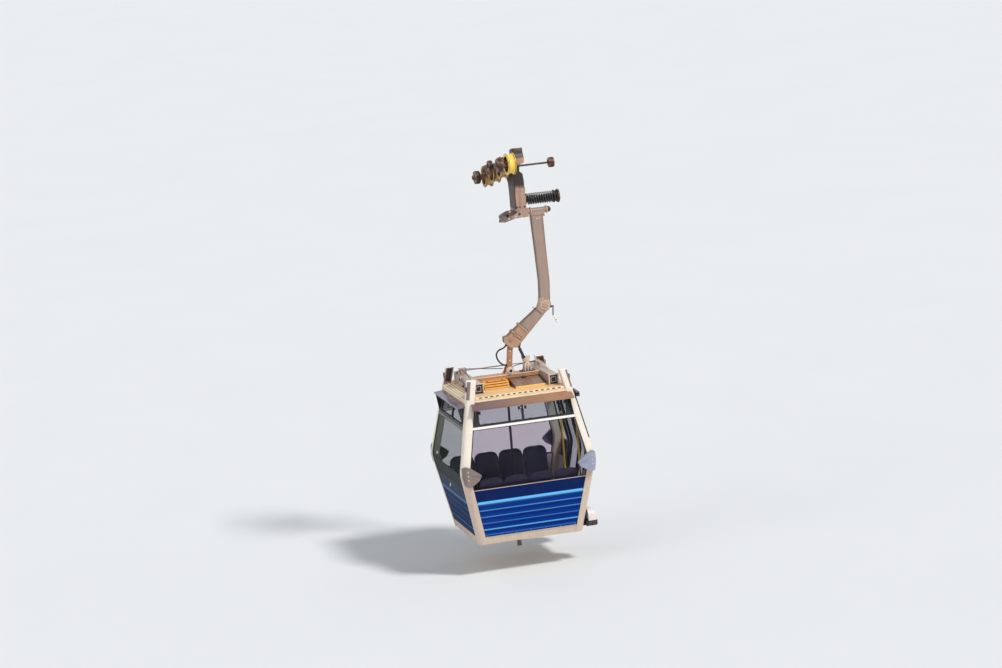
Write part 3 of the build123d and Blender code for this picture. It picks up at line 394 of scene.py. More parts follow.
def post_paint():
    """Corner posts: cream, with painted shade below the belt where they face down and inside each post's open
    channel.
    """
    finish = Finish("post_paint", CREAM, 0.34, Coat_Weight=0.2)
    height = finish.cabin("Z")
    # Painted shade: warmer and darker below the belt, where the posts face down
    low = finish.cut(height + finish.noise(3.0) * 0.10, -0.10, 0.12)
    base = finish.mix(low, paint(208, 186, 168), CREAM)
    across = abs(abs(finish.cabin("X")) - (BELT["side"] - POST_IN) + height * SLOPE["side"])
    along = abs(finish.axis("Y")) - (BELT["end"] - POST_IN) + height * SLOPE["end"]
    inside = (1 - finish.cut(across, 0.061, 0.065)) * (1 - finish.cut(along, 0.055, 0.060))
    below_cap = 1 - finish.cut(height, Z_TOP - 0.008, Z_TOP)
    # Painted shade inside each post's open channel
    channel = inside * finish.cut(height, Z_STEP, Z_STEP + 0.02) * below_cap
    return weather(finish, finish.mix(channel * 0.9, base, paint(104, 80, 74)), 0.36, 0.25)


def hanger_paint():
    """Hanger's box arms: warm paint in front and behind, with painted shade darkening their thin sides."""
    finish = Finish("hanger_paint", BROWN, 0.5)
    under_boss = 1 - finish.cut(finish.cabin("Z"), 3.825, 3.845)
    # Painted shade on the arms' thin sides
    narrow_side_shade = (1 - finish.cut(abs(finish.axis("Y")), 0.054, 0.058)) * under_boss
    end = 1 - finish.cut(finish.cabin("Z") + finish.cabin("X"), 2.40, 2.42)
    front = finish.mix(end, paint(160, 136, 122), paint(180, 142, 114))
    base = finish.mix(narrow_side_shade * 0.75, front, paint(84, 64, 54))
    return weather(finish, base, 0.5, 0.45, 50.0, 0.2)


def beam_paint():
    """Carriage beam: warm paint, black with grease at its front end beside the ribbed box."""
    finish = Finish("beam_paint", BROWN, 0.5)
    along = finish.axis("Y") * cos(LINE_ANGLE) - finish.axis("Z") * sin(LINE_ANGLE)
    up = finish.axis("Y") * sin(LINE_ANGLE) + finish.axis("Z") * cos(LINE_ANGLE)
    front = 1 - finish.cut(along, -0.46, -0.40)
    greasy = finish.cut(up + finish.noise(14.0, 4.0) * 0.03, 0.272, 0.284) * front
    base = finish.mix(greasy * 0.9, paint(200, 160, 134), paint(44, 34, 30))
    return weather(finish, base, 0.5, 0.4, 60.0, 0.2)


def buffer_rubber():
    """Moulded buffers, paler and bluish on the door side."""
    finish = Finish("buffer_rubber", paint(128, 114, 108), 0.55)
    side = finish.cut(finish.cabin("X"), -0.1, 0.1)
    base = finish.mix(side, paint(132, 118, 112), paint(150, 156, 176))
    return weather(finish, base, 0.55, 0.3, 60.0, 0.3)


def visor_paint():
    """Tinted visor: warm brown in front, darker and cooler towards the left, and mauve on the left side as
    painted shade and painted sky reflection.
    """
    finish = Finish("visor_tint", paint(140, 104, 84), 0.3, 0.0, Coat_Weight=0.4)
    x = finish.cabin("X")
    front = finish.mix(finish.cut(x, -0.80, 0.60), paint(112, 84, 88), paint(160, 116, 84))
    # The left side's mauve is painted shade and painted sky reflection
    base = finish.mix(finish.cut(x, -0.862, -0.856), paint(98, 82, 108), front)
    return weather(finish, base, 0.34, 0.3)


def column_paint():
    """Column: warm paint, with painted shadow up by the wheels and painted shade on its left face."""
    finish = Finish("column_paint", paint(190, 152, 132), 0.5)
    # Painted shadow of the beam over the column's upper part
    worn = finish.cut(finish.axis("Z") + finish.noise(6.0, 4.0) * 0.10, -0.09, -0.02)
    # Painted shade on the column's left face
    edge = 1 - finish.cut(finish.axis("X") + finish.noise(9.0) * 0.02, 0.196, 0.214)
    base = finish.mix(worn * 0.95, paint(176, 142, 124), paint(36, 28, 28))
    return weather(finish, finish.mix(edge * 0.9, base, paint(38, 30, 30)), 0.5, 0.4, 50.0, 0.2)


def grip_paint():
    """Grip body: warm paint at the hanger's end, greasy and dark towards the jaws."""
    finish = Finish("grip_paint", BROWN, 0.5)
    greasy = 1 - finish.cut(finish.axis("X") + finish.noise(12.0, 4.0) * 0.08, 0.08, 0.20)
    base = finish.mix(greasy * 0.75, paint(172, 142, 126), paint(74, 58, 50))
    return weather(finish, base, 0.5, 0.4, 50.0, 0.2)


def solar_cells():
    """Dark cells under glass, parted by thin pale lines."""
    finish = Finish("solar_cells", paint(98, 62, 50), 0.3, 0.0, Coat_Weight=0.15)
    lines = []
    for name, pitch in (("X", 0.083), ("Y", 0.114)):
        part = finish.node("Math", {"operation": "FRACT"}, {0: finish.axis(name) / pitch + 40.0})
        lines.append(finish.band(part, 0.5, 0.040, 0.010))
    grid = finish.node("Math", {"operation": "MAXIMUM"}, {0: lines[0], 1: lines[1]})
    base = finish.mix(finish.noise(26.0, 4.0), paint(88, 54, 46), paint(150, 104, 80))
    finish.set("Base Color", finish.mix(grid * 0.5, base, paint(206, 172, 140)))
    finish.set("Roughness", finish.noise(30.0) * 0.1 + 0.26)
    finish.bump(finish.noise(60.0), 0.04)
    return finish


def turned_metal(name, light, dark, metal=0.6, rough=0.4):
    """Turned and passivated metal, with fine tool marks and grease."""
    finish = Finish(name, light, rough, metal)
    patch = finish.cut(finish.noise(12.0, 5.0), 0.44, 0.62)
    finish.set("Base Color", finish.mix(patch, light, dark))
    finish.set("Roughness", finish.noise(40.0) * 0.25 + (rough - 0.12))
    finish.bump(finish.noise(140.0), 0.1)
    return finish


def coil_metal():
    """Black lacquer on the spring's wire, rubbed in patches, with a painted highlight along its top."""
    finish = Finish("spring_lacquer", paint(34, 34, 42), 0.28, 0.2, Coat_Weight=0.5)
    rub = finish.cut(finish.noise(60.0, 4.0), 0.56, 0.64)
    # Painted highlight along the coil's top
    top = finish.cut(finish.axis("Z"), SPRING_Z + 0.045, SPRING_Z + 0.085)
    base = finish.mix(rub * 0.4, paint(30, 30, 38), paint(110, 104, 102))
    finish.set("Base Color", finish.mix(top * 0.7, base, paint(196, 192, 192)))
    finish.set("Roughness", finish.noise(30.0) * 0.2 + 0.22)
    finish.bump(finish.noise(120.0), 0.15)
    return finish


def tread_rubber(name, fresh, worn, share):
    """Wheel liner, with grime in patches and a moulded grain."""
    finish = Finish(name, fresh, 0.42)
    grime = finish.cut(finish.noise(16.0, 5.0), 0.44, 0.66)
    finish.set("Base Color", finish.mix(grime * share, fresh, worn))
    finish.set("Roughness", finish.noise(40.0) * 0.18 + 0.34)
    finish.bump(finish.noise(110.0), 0.15, 0.001)
    return finish


F = {
    "post": post_paint(),
    "sill": weathered("sill_paint", paint(206, 186, 166), 0.5, dirt=0.4),
    "end_blue": striped("end_panel_blue", paint(8, 32, 86), paint(0, 50, 134), paint(104, 186, 240),
                        BAND_LOW, 0.34, 0.07),
    # The side panels' copy of the blue livery: darker and greyer, as painted shade and painted grazing
    # reflection
    "side_blue_painted_shade": striped("side_panel_blue_painted_shade", paint(52, 68, 84), paint(24, 50, 92), paint(86, 120, 162),
                         BAND_LOW, 0.5, 0.03),
    "leaf": striped("leaf_paint", paint(30, 30, 36), paint(6, 40, 124), paint(90, 160, 220),
                    LEAF_GLASS_LOW, 0.4),
    "glass": glazing("end_glass", (0.87, 0.84, 0.87, 1), paint(84, 78, 98), 0.035),
    # Side glass: under the belt almost wholly its dark colour, a painted reflection of what lies below
    "side_glass_painted_reflection": glazing("side_glass_painted_reflection", (0.82, 0.86, 0.85, 1), paint(76, 82, 82), 0.03, 0.92, 0.0),
    "door_glass": glazing("door_glass", (0.78, 0.80, 0.82, 1), paint(60, 66, 70), 0.05, 0.0, 0.3),
    "vent_glass": glazing("vent_glass", (0.80, 0.82, 0.84, 1), paint(84, 88, 98), 0.05),
    "bar": bar_paint(),
    "white": weathered("fitting_white", paint(246, 240, 234), 0.34, dirt=0.12),
    "frame": plain("window_frame_black", paint(26, 26, 32), 0.42),
    "seal": plain("rubber_seal", paint(20, 20, 22), 0.7, 120.0, 0.2),
    "visor": visor_paint(),
    "cheek": plain("visor_cheek_black", paint(28, 26, 34), 0.45),
    "buffer": buffer_rubber(),
    "roof": weathered("roof_cream", paint(246, 224, 188), 0.48, dirt=0.40),
    "lid": roof_paint(),
    "deck": weathered("deck_ochre", paint(234, 190, 136), 0.6, dirt=0.3, grain=160.0, rise=0.2),
    "beam": weathered("cross_beam_paint", paint(196, 146, 98), 0.55, dirt=0.45),
    "tube": weathered("tube_zinc", paint(192, 178, 164), 0.45, 0.3, dirt=0.4),
    "box": weathered("box_orange", paint(236, 156, 62), 0.45, dirt=0.40),
    "trim": weathered("panel_edge_yellow", paint(252, 204, 110), 0.4, dirt=0.2),
    "cells": solar_cells(),
    "drive": cast("drive_grey", paint(168, 146, 136), 0.5, 0.2),
    "pale": cast("pale_casting", paint(222, 200, 184), 0.5, 0.1, 0.2),
    "seat": plain("seat_shell", paint(30, 34, 60), 0.42, 260.0, 0.25, Coat_Weight=0.2),
    "bench": plain("bench_paint", paint(72, 74, 80), 0.45),
    "pole": plain("handle_yellow", paint(240, 194, 44), 0.35, 90.0, 0.05),
    "dark_pole": plain("post_grey", paint(70, 60, 72), 0.35, metal=0.4),
    "floor": plain("floor_rubber", paint(74, 74, 78), 0.75, 140.0, 0.4),
    "liner": plain("wall_liner", paint(186, 182, 184), 0.6, 300.0, 0.15),
    "lamp": plain("lamp_cover", paint(240, 240, 236), 0.4, 300.0, 0.05),
    "house": weathered("guide_housing_white", paint(232, 222, 214), 0.42, dirt=0.25),
    "shoe": plain("guide_shoe_black", paint(34, 30, 30), 0.6),
    "rail": weathered("rail_grey", paint(104, 92, 96), 0.4, 0.2, dirt=0.4),
    "pin": plain("pin_steel", paint(104, 90, 82), 0.42, metal=0.5),
    "hanger": hanger_paint(),
    "link": cast("link_paint", paint(172, 124, 94)),
    "casting": cast("casting_paint", BROWN),
    "carriage": turned_metal("bogie_bronze", paint(168, 128, 92), paint(82, 58, 46), 0.5, 0.45),
    "carriage_beam": beam_paint(),
    "rib_brown": cast("rib_brown", paint(196, 160, 134)),
    "column": column_paint(),
    "dark_steel": cast("dark_steel", paint(76, 62, 56), 0.45, 0.5),
    "jaw": cast("jaw_steel", paint(84, 68, 60), 0.4, 0.5),
    "grip": grip_paint(),
    "spring": coil_metal(),
    "wheel": turned_metal("wheel_metal", paint(150, 116, 66), paint(64, 46, 38)),
    "fresh_liner": tread_rubber("wheel_liner_yellow", paint(255, 216, 88), paint(206, 150, 56), 0.3),
    "darker_liner": tread_rubber("wheel_liner_darker", paint(196, 150, 84), paint(78, 54, 40), 0.95),
    "rim": turned_metal("roller_rim", paint(74, 56, 48), paint(40, 32, 32), 0.4, 0.45),
    "roller": turned_metal("roller_metal", paint(116, 84, 68), paint(52, 42, 40), 0.5, 0.42),
    "guide_roller": turned_metal("guide_roller_brown", paint(134, 88, 70), paint(96, 58, 48), 0.4, 0.42),
    "fins": plain("fin_black", paint(48, 36, 30), 0.5),
    "bright": plain("bright_steel", paint(206, 198, 190), 0.32, metal=0.7),
    "lead": plain("cable_jacket", paint(24, 24, 30), 0.55),
    "damper": plain("damper_tube", paint(58, 58, 66), 0.35, metal=0.3),
}

NODE_FINISH = {
    "corner_pillars": "post", "corner_buffers": "buffer", "floor_pan": "sill", "roof_lid": "lid",
    "end_lower_panels": "end_blue", "side_lower_panels": "side_blue_painted_shade", "end_windows": "glass",
    "side_windows": "side_glass_painted_reflection", "window_bars": "bar", "vent_frames": "frame", "vent_panes": "vent_glass",
    "visors": "visor", "visor_cheeks": "cheek", "door_portal": "frame", "door_rails": "rail",
    "front_door_leaf": "leaf", "rear_door_leaf": "leaf", "front_door_glass": "door_glass",
    "rear_door_glass": "door_glass", "guide_shoes": "shoe", "guide_housings": "house", "door_handles": "pole",
    "centre_post": "dark_pole", "seats": "seat", "bench_frames": "bench", "floor_guide_pin": "pin",
    "roof_tubes": "tube", "cross_beam": "beam", "solar_panel": "cells", "battery_box": "box",
    "door_drive": "drive", "hanger_arm": "hanger", "hanger_elbow": "casting", "lower_arm": "hanger",
    "drop_link": "link", "hand_crank": "pin", "hanger_cable": "lead", "damper_tube": "damper",
    "damper_rod": "bright", "bogies": "carriage", "carriage_beam": "carriage_beam", "carriage_column": "column",
    "grip_body": "grip", "moving_jaw": "jaw", "spring_pack": "spring", "roller_arms": "dark_steel",
    "finned_box": "fins", "track_wheel_1": "wheel", "track_wheel_2": "wheel", "track_wheel_3": "wheel",
    "track_wheel_4": "wheel", "front_station_roller": "roller", "rear_station_roller": "roller",
    "lever_roller": "roller", "guide_roller": "guide_roller",
}


def dress_nodes():
    """Give every CAD node its finish."""
    for name, finish in NODE_FINISH.items():
        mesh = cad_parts[name].data
        mesh.materials.clear()
        mesh.materials.append(F[finish].material)


# Shapes

SHARP_ANGLE = radians(34)


def ease_edges(shape, edges, ease):
    """Round edges off by a little, where there is anything to ease."""
    if ease:
        bmesh.ops.bevel(shape, geom=edges, offset=ease, segments=2, profile=0.5, affect="EDGES", material=-1)


def slab(x, y, z, ease=0.0):
    """Block of a size, with its edges eased."""
    shape = bmesh.new()
    bmesh.ops.create_cube(shape, size=1.0, matrix=Matrix.Diagonal((x, y, z, 1)))
    ease_edges(shape, shape.edges[:], ease)
    return shape


def turned(profile, steps=24):
    """Solid turned round local Z from pairs of radius and height."""
    shape = bmesh.new()
    line = [shape.verts.new((r, 0, z)) for r, z in profile]
    runs = [shape.edges.new(pair) for pair in zip(line, line[1:])]
    bmesh.ops.spin(shape, geom=line + runs, cent=(0, 0, 0), axis=(0, 0, 1), angle=2 * pi, steps=steps,
                   use_merge=True, use_duplicate=False)
    bmesh.ops.remove_doubles(shape, verts=shape.verts[:], dist=1e-6)
    return shape


def ring(inner, outer, low, high, ease=0.001, steps=24):
    """Flat ring or tube end round local Z."""
    profile = [(inner, low), (outer - ease, low), (outer, low + ease), (outer, high - ease),
               (outer - ease, high), (inner, high), (inner, low)]
    return turned(profile, steps)


def disc(radius, thick, ease=0.002, steps=24):
    """Round plate standing on the ground plane of its place."""
    return turned([(0, 0), (radius, 0), (radius, thick - ease), (radius - ease, thick), (0, thick)], steps)


def plate(outline, thick, ease=0.0):
    """Flat plate of an outline in local X and Y, with its upper edge eased."""
    shape = bmesh.new()
    face = shape.faces.new([shape.verts.new((x, y, 0)) for x, y in outline])
    made = bmesh.ops.extrude_face_region(shape, geom=[face])
    top = [part for part in made["geom"] if isinstance(part, bmesh.types.BMVert)]
    bmesh.ops.translate(shape, vec=(0, 0, thick), verts=top)
    ease_edges(shape, [edge for edge in shape.edges if all(vert in top for vert in edge.verts)], ease)
    return shape


def soft_corners(points, radii, steps=5):
    """Outline with each corner rounded to its radius."""
    made = []
    for i, (point, radius) in enumerate(zip(points, radii)):
        here = Vector(point)
        if not radius:
            made.append(tuple(here))
            continue
        back = (Vector(points[i - 1]) - here).normalized() * radius
        ahead = (Vector(points[(i + 1) % len(points)]) - here).normalized() * radius
        for t in row(0, 1, steps):
            made.append(tuple(here + back * (1 - t) ** 2 + ahead * t ** 2))
    return made


class Parts:
    """Small solids gathered into one piece."""

    def __init__(self):
        self.shape = bmesh.new()

    def add(self, solid, *places):
        """Put a copy of a solid at each place, or one where it stands."""
        bmesh.ops.recalc_face_normals(solid, faces=solid.faces[:])
        mesh = bpy.data.meshes.new("solid")
        solid.to_mesh(mesh)
        solid.free()
        for place in places or (HERE,):
            start = len(self.shape.verts)
            self.shape.from_mesh(mesh)
            self.shape.verts.ensure_lookup_table()
            bmesh.ops.transform(self.shape, matrix=place, verts=self.shape.verts[start:])
        bpy.data.meshes.remove(mesh)
        return self


def bolt(head=0.012, thick=0.010):
    """Hexagon head on its washer, standing along local Z."""
    made = Parts()
    made.add(disc(head * 1.35, thick * 0.25, 0.0005, 14))
    low, high = thick * 0.25, thick
    made.add(turned([(0, low), (head, low), (head, high * 0.85), (head * 0.8, high), (0, high)], 6))
    return made.shape


def rivet(radius=0.008):
    """Round rivet head."""
    profile = [(1, -0.001 / radius), (0.9, 0.25), (0.55, 0.5), (0, 0.6)]
    return turned([(radius * r, radius * z) for r, z in profile], 10)


def put_up(name, data, body, finish):
    """Give a mesh or curve its finish and an object that rides on a body."""
    data.materials.append(F[finish].material)
    made = bpy.data.objects.new(name, data)
    bpy.context.collection.objects.link(made)
    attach(made, body)
    return made


def piece(name, body, finish, parts, replaces=()):
    """Make gathered solids into a named piece that rides on a body."""
    mesh = bpy.data.meshes.new(name)
    parts.shape.to_mesh(mesh)
    parts.shape.free()
    mesh.shade_smooth()
    mesh.set_sharp_from_angle(angle=SHARP_ANGLE)
    made = put_up(name, mesh, body, finish)
    if replaces:
        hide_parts(*replaces)


def wire(name, body, finish, runs, radius, closed=False, smooth=False):
    """Round bars, beads or leads along runs of points."""
    data = bpy.data.curves.new(name, "CURVE")
    data.dimensions = "3D"
    data.bevel_depth, data.bevel_resolution = radius, 2
    data.use_fill_caps = True
    data.resolution_u = 6
    for run in runs:
        spline = data.splines.new("NURBS" if smooth else "POLY")
        spline.points.add(len(run) - 1)
        for point, at in zip(spline.points, run):
            point.co = (*at, 1)
        if smooth:
            spline.order_u = 3
            spline.use_endpoint_u = True
        spline.use_cyclic_u = closed
    put_up(name, data, body, finish)


def wall_sheet(face, levels, out, thick, gap=0.0, low=None, high=None):
    """Sheet that follows a wall through its levels, from post to post or between two places."""
    shape = bmesh.new()
    rows = []
    for z in levels:
        left = -post_face(face, z, gap) if low is None else low
        right = post_face(face, z, gap) if high is None else high
        rows.append([shape.verts.new(on_wall(face, across, z, out).translation) for across in (left, right)])
    for below, above in zip(rows, rows[1:]):
        shape.faces.new((below[0], below[1], above[1], above[0]))
    bmesh.ops.recalc_face_normals(shape, faces=shape.faces[:])
    bmesh.ops.solidify(shape, geom=shape.faces[:], thickness=thick)
    return shape


# Walls

WINDOW_LEVELS = (Z_GLASS + 0.008, -0.080, -0.040, 0.0, 0.040, 0.080, Z_BAR - BAR_HALF - 0.008)
BELT_LEVELS = WINDOW_LEVELS[1:-1]
SPANS = (("front", None, None), ("rear", None, None), ("left", None, None), ("right", None, -JAMB),
         ("right", JAMB, None))


def wall_loop(face, levels, gap, out, low=None, high=None):
    """Closed run round an opening in a wall."""
    def place(z, side, end):
        across = side * post_face(face, z, gap) if end is None else end - side * gap
        return on_wall(face, across, z, out).translation

    return [place(z, 1, high) for z in levels] + [place(z, -1, low) for z in reversed(levels)]


def window_seals():
    """Rubber bead round each big window."""
    runs = [wall_loop(face, WINDOW_LEVELS, 0.008, 0.001, low, high) for face, low, high in SPANS]
    wire("window_seals", "cabin", "seal", runs, 0.008, closed=True)


def window_trims():
    """Light strip under each big window, over the blue panel's edge."""
    trims = Parts()
    for face, low, high in SPANS:
        trims.add(wall_sheet(face, (Z_GLASS - 0.006, Z_GLASS + 0.004), 0.001, 0.005, 0.001, low, high))
    piece("window_trims", "cabin", "pale", trims)


def wall_liners():
    """Pale inner lining behind the lower panels, with a shelf under each window."""
    liners = Parts()
    for face, low, high in SPANS:
        for bottom, top, behind, thick, gap in ((Z_SILL + 0.020, Z_GLASS - 0.004, 0.004, 0.004, 0.010),
                                                (Z_GLASS - 0.030, Z_GLASS - 0.002, 0.008, 0.020, 0.012)):
            liners.add(wall_sheet(face, (bottom, top), -PANEL_T - behind, -thick, gap, low, high))
    piece("wall_liners", "cabin", "liner", liners)


def panel_seams():
    """Rubber joint beside each post and rivets along the panels' lower edge."""
    rivets, joints = Parts(), []
    for face, low, high in SPANS:
        for side, end in ((-1, low), (1, high)):
            if end is None:
                joints.append([on_wall(face, side * post_face(face, z, 0.004), z, 0.002).translation
                               for z in row(Z_SILL, Z_GLASS, 5)])
        z = Z_SILL + 0.014
        ends = (-post_face(face, z, 0.03) if low is None else low + 0.03,
                post_face(face, z, 0.03) if high is None else high - 0.03)
        count = max(3, round((ends[1] - ends[0]) / 0.24) + 1)
        rivets.add(rivet(0.005), *[on_wall(face, x, z, 0.0) for x in row(*ends, count)])
    wire("panel_joints", "cabin", "seal", joints, 0.005)
    piece("panel_rivets", "cabin", "bright", rivets)


def sill_trims():
    """Drip edge and bolts along the floor's sill."""
    trims, bolts = Parts(), Parts()
    for face, low, high in (("front", None, None), ("right", -0.62, -DOOR_HALF), ("rear", None, None),
                            ("left", None, None), ("right", DOOR_HALF, 0.62)):
        trims.add(wall_sheet(face, (Z_SILL - 0.010, Z_SILL - 0.001), 0.001, 0.007, 0.002, low, high))
        if face != "right":
            bolts.add(bolt(0.008, 0.007), *[on_wall(face, x, -1.165) for x in row(-0.60, 0.60, 5)])
    piece("sill_edges", "cabin", "sill", trims)
    piece("sill_bolts", "cabin", "bright", bolts)


def vent_fittings():
    """Hinge blocks, stays and the knob of each opening vent window, with its inner frame."""
    blocks, knobs, frames = Parts(), Parts(), []
    low, high = Z_BAR + BAR_HALF + 0.030, Z_ROOF - 0.060
    for face in ("front", "rear", "left"):
        edge = half(OTHER[KIND[face]], Z_ROOF) - POST_FACE - 0.045
        for side in (-1, 1):
            x0, x1 = sorted((side * 0.016, side * edge))
            ends = [on_wall(face, x, z, -0.004).translation
                    for x, z in ((x0, low), (x1, low), (x1, high), (x0, high))]
            frames.append(ends)
            blocks.add(slab(0.034, 0.050, 0.026, 0.005),
                       *[on_wall(face, side * across, high - 0.06, 0.008) for across in (edge - 0.020, 0.052)])
            blocks.add(slab(0.030, 0.022, 0.020, 0.004),
                       *[on_wall(face, x, low + 0.004, 0.004) for x in (x0 + 0.10, x1 - 0.10)])
        knobs.add(turned([(0, 0.030), (0.012, 0.028), (0.015, 0.020), (0.008, 0.008), (0.008, -0.004)], 14),
                  on_wall(face, -0.030, high - 0.055, 0.012))
    wire("vent_gaskets", "cabin", "seal", frames, 0.006, closed=True)
    piece("vent_hinges", "cabin", "frame", blocks)
    piece("vent_knobs", "cabin", "bright", knobs)


def visor_brackets():
    """Folded brackets and bolts that hold each visor to the roof's edge."""
    brackets, bolts = Parts(), Parts()
    for face, z, reach in (("front", 1.104, 0.70), ("rear", 1.104, 0.70), ("left", 1.054, 0.62)):
        for x in row(-reach, reach, 5):
            brackets.add(slab(0.040, 0.016, 0.012, 0.002), on_wall(face, x, z, 0.005))
            bolts.add(bolt(0.006, 0.006), on_wall(face, x, z, 0.011))
    piece("visor_brackets", "cabin", "roof", brackets)
    piece("visor_bolts", "cabin", "bright", bolts)


# Posts and buffers

def corners():
    """The four posts: which way each lies in X and Y."""
    return [(sx, sy) for sx in (-1, 1) for sy in (-1, 1)]


def post_at(z):
    """Centre line of the post that lies towards +X and +Y."""
    return half("side", z) - POST_IN, half("end", z) - POST_IN


def post_caps():
    """White cap on each post, with its two screws."""
    caps, screws = Parts(), Parts()
    x, y = post_at(Z_TOP)
    r = POST_HALF + 0.002
    outline = soft_corners([(-r, -r), (r, -r), (r, r), (-r, r)], (0.012, 0.012, POST_ROUND, 0.012), 8)
    for sx, sy in corners():
        place = CAB @ Matrix.Translation((sx * x, sy * y, Z_TOP - 0.004)) @ Matrix.Diagonal((sx, sy, 1, 1))
        caps.add(plate(outline, 0.010, 0.003), place)
        screws.add(bolt(0.007, 0.006), cab(sx * (x - 0.035), sy * (y - 0.02), Z_TOP + 0.006),
                   cab(sx * (x + 0.02), sy * (y - 0.03), Z_TOP + 0.006))
    bmesh.ops.recalc_face_normals(caps.shape, faces=caps.shape.faces[:])
    piece("post_caps", "cabin", "white", caps)
    piece("post_cap_screws", "cabin", "bright", screws)


def post_fittings():
    """Screws down each post's inner edge and the clamp plates at its head."""
    screws, plates = Parts(), Parts()
    for sx, sy in corners():
        for z in (1.30, 1.24, 0.62, -0.55, -1.12):
            x, y = post_at(z)
            screws.add(rivet(0.009), cab(sx * (x - 0.035), sy * (y + POST_HALF), z, (0, sy, 0)))
        x, y = post_at(1.30)
        plates.add(slab(0.012, 0.070, 0.110, 0.003), cab(sx * (x + POST_HALF + 0.002), sy * (y - 0.025), 1.285))
    piece("post_screws", "cabin", "bright", screws)
    piece("post_plates", "cabin", "dark_steel", plates)


def corner_beads():
    """Black rubber bead down the door side of the right posts, with its end block and a hinge stop."""
    runs, stops, blocks = [], Parts(), Parts()
    middle, reach, angle = POST_HALF - POST_ROUND, 0.092, 0.62
    out, along = middle + reach * cos(angle), middle + reach * sin(angle)
    for sy in (-1, 1):
        levels = [(z, *post_at(z)) for z in (1.105, 0.95, 0.70, 0.50, 0.32)]
        runs.append([cab(x + out, sy * (y + along), z).translation for z, x, y in levels])
        x, y = post_at(0.98)
        stops.add(slab(0.024, 0.030, 0.044, 0.006), cab(x + out, sy * (y + 0.036), 0.975))
        blocks.add(slab(0.040, 0.034, 0.026, 0.006), cab(x - 0.022 + POST_HALF, sy * (y - 0.010), 1.128))
    wire("corner_beads", "cabin", "seal", runs, 0.014)
    piece("corner_stops", "cabin", "frame", stops)
    piece("corner_blocks", "cabin", "white", blocks)


def wall_fittings():
    """Round stud and slanted catch on the left wall."""
    studs = Parts().add(disc(0.022, 0.012, 0.004, 20), on_wall("left", -0.573, 0.073))
    slant = Matrix.Rotation(radians(38), 4, "Z")
    studs.add(slab(0.100, 0.022, 0.012, 0.004), on_wall("left", -0.122, -0.378, 0.005) @ slant)
    piece("wall_studs", "cabin", "white", studs)


def buffer_fittings():
    """Three rivets down each buffer's root and the raised rib out to its tip."""
    rivets, runs = Parts(), []
    x = BELT["side"] - 0.008 - POST_IN + POST_HALF
    y = half("end", 0) - POST_IN + POST_HALF + 0.060
    rib = ((0.122, -0.001, 0.012), (0.170, -0.003, -0.004), (0.225, -0.013, -0.022), (0.280, -0.027, -0.038),
           (0.308, -0.036, -0.046))
    for sx, sy in corners():
        rivets.add(rivet(0.011),
                   *[cab(sx * (x - 0.088), sy * y, z, (0, sy, 0)) for z in (0.058, -0.008, -0.074)])
        runs.append([cab(sx * (x - across), sy * (y + out), z).translation for across, out, z in rib])
    piece("buffer_rivets", "cabin", "pale", rivets)
    wire("buffer_ribs", "cabin", "buffer", runs, 0.006, smooth=True)


# Doors

def leaf_span(side):
    """Ends of one leaf's glass across the door wall."""
    ends = sorted((side * LEAF_SPLIT, side * (LEAF_SPLIT + LEAF_W)))
    return ends[0] + LEAF_BORDER, ends[1] - LEAF_BORDER


def leaf_fittings(body, side):
    """Gasket round a leaf's glass, finger seal at the meeting edge, brush below and screws above."""
    low, high = leaf_span(side)
    levels = (LEAF_GLASS_LOW,) + BELT_LEVELS + (LEAF_GLASS_HIGH,)
    loop = wall_loop("right", levels, 0.0, LEAF_OUT - 0.003, low, high)
    wire(f"{body}_gasket", body, "seal", [loop], 0.008, closed=True)
    seal, face = Parts(), LEAF_OUT + 0.001
    edge = sorted((side * LEAF_SPLIT, side * (LEAF_SPLIT + 0.024)))
    seal.add(wall_sheet("right", (LEAF_LOW + 0.01, *BELT_LEVELS, LEAF_HIGH - 0.01), face, 0.006, 0.0, *edge))
    ends = sorted((side * (LEAF_SPLIT + 0.01), side * (LEAF_SPLIT + LEAF_W - 0.01)))
    seal.add(wall_sheet("right", (LEAF_LOW + 0.004, LEAF_LOW + 0.030), face, 0.004, 0.0, *ends))
    piece(f"{body}_seals", body, "seal", seal)
    screws, across = Parts(), row(ends[0] + 0.03, ends[1] - 0.03, 4)
    for z in (LEAF_HIGH - 0.034, LEAF_GLASS_LOW - 0.020, LEAF_LOW + 0.060):
        screws.add(rivet(0.006), *[on_wall("right", x, z, LEAF_OUT) for x in across])
    piece(f"{body}_screws", body, "bright", screws)


def rail_fittings():
    """Bolts along the door rail's housing."""
    face = half("side", LEAF_HIGH) + LEAF_OUT + 0.013
    places = [cab(face, across, RAIL_Z, (1, 0, 0)) for across in row(-RAIL_REACH, RAIL_REACH, 9)]
    piece("rail_bolts", "cabin", "bright", Parts().add(bolt(0.007, 0.007), *places))


def guide_fittings():
    """Rings round the shoe's two holes, and the housing's joint and screws."""
    rings, screws, dark = Parts(), Parts(), Parts()
    reach = half("side", Z_BOTTOM) + GUIDE_OUT
    for side in (-1, 1):
        places = [cab(reach - across, side * GUIDE_END, GUIDE_Z, (0, side, 0)) for across in (0.070, 0.135)]
        rings.add(ring(0.014, 0.022, -0.001, 0.004), *places)
        dark.add(disc(0.014, 0.002, 0.0005), *places)
        screws.add(bolt(0.008, 0.008),
                   *[cab(reach, side * across, GUIDE_Z, (1, 0, 0)) for across in (0.55, 0.66)])
        screws.add(rivet(0.006),
                   *[cab(reach - 0.005, side * across, -1.040, (1, 0, 0)) for across in (0.54, 0.67)])
    piece("guide_hole_rings", "cabin", "rail", rings)
    piece("guide_holes", "cabin", "seal", dark)
    piece("guide_screws", "cabin", "bright", screws)


# Inside

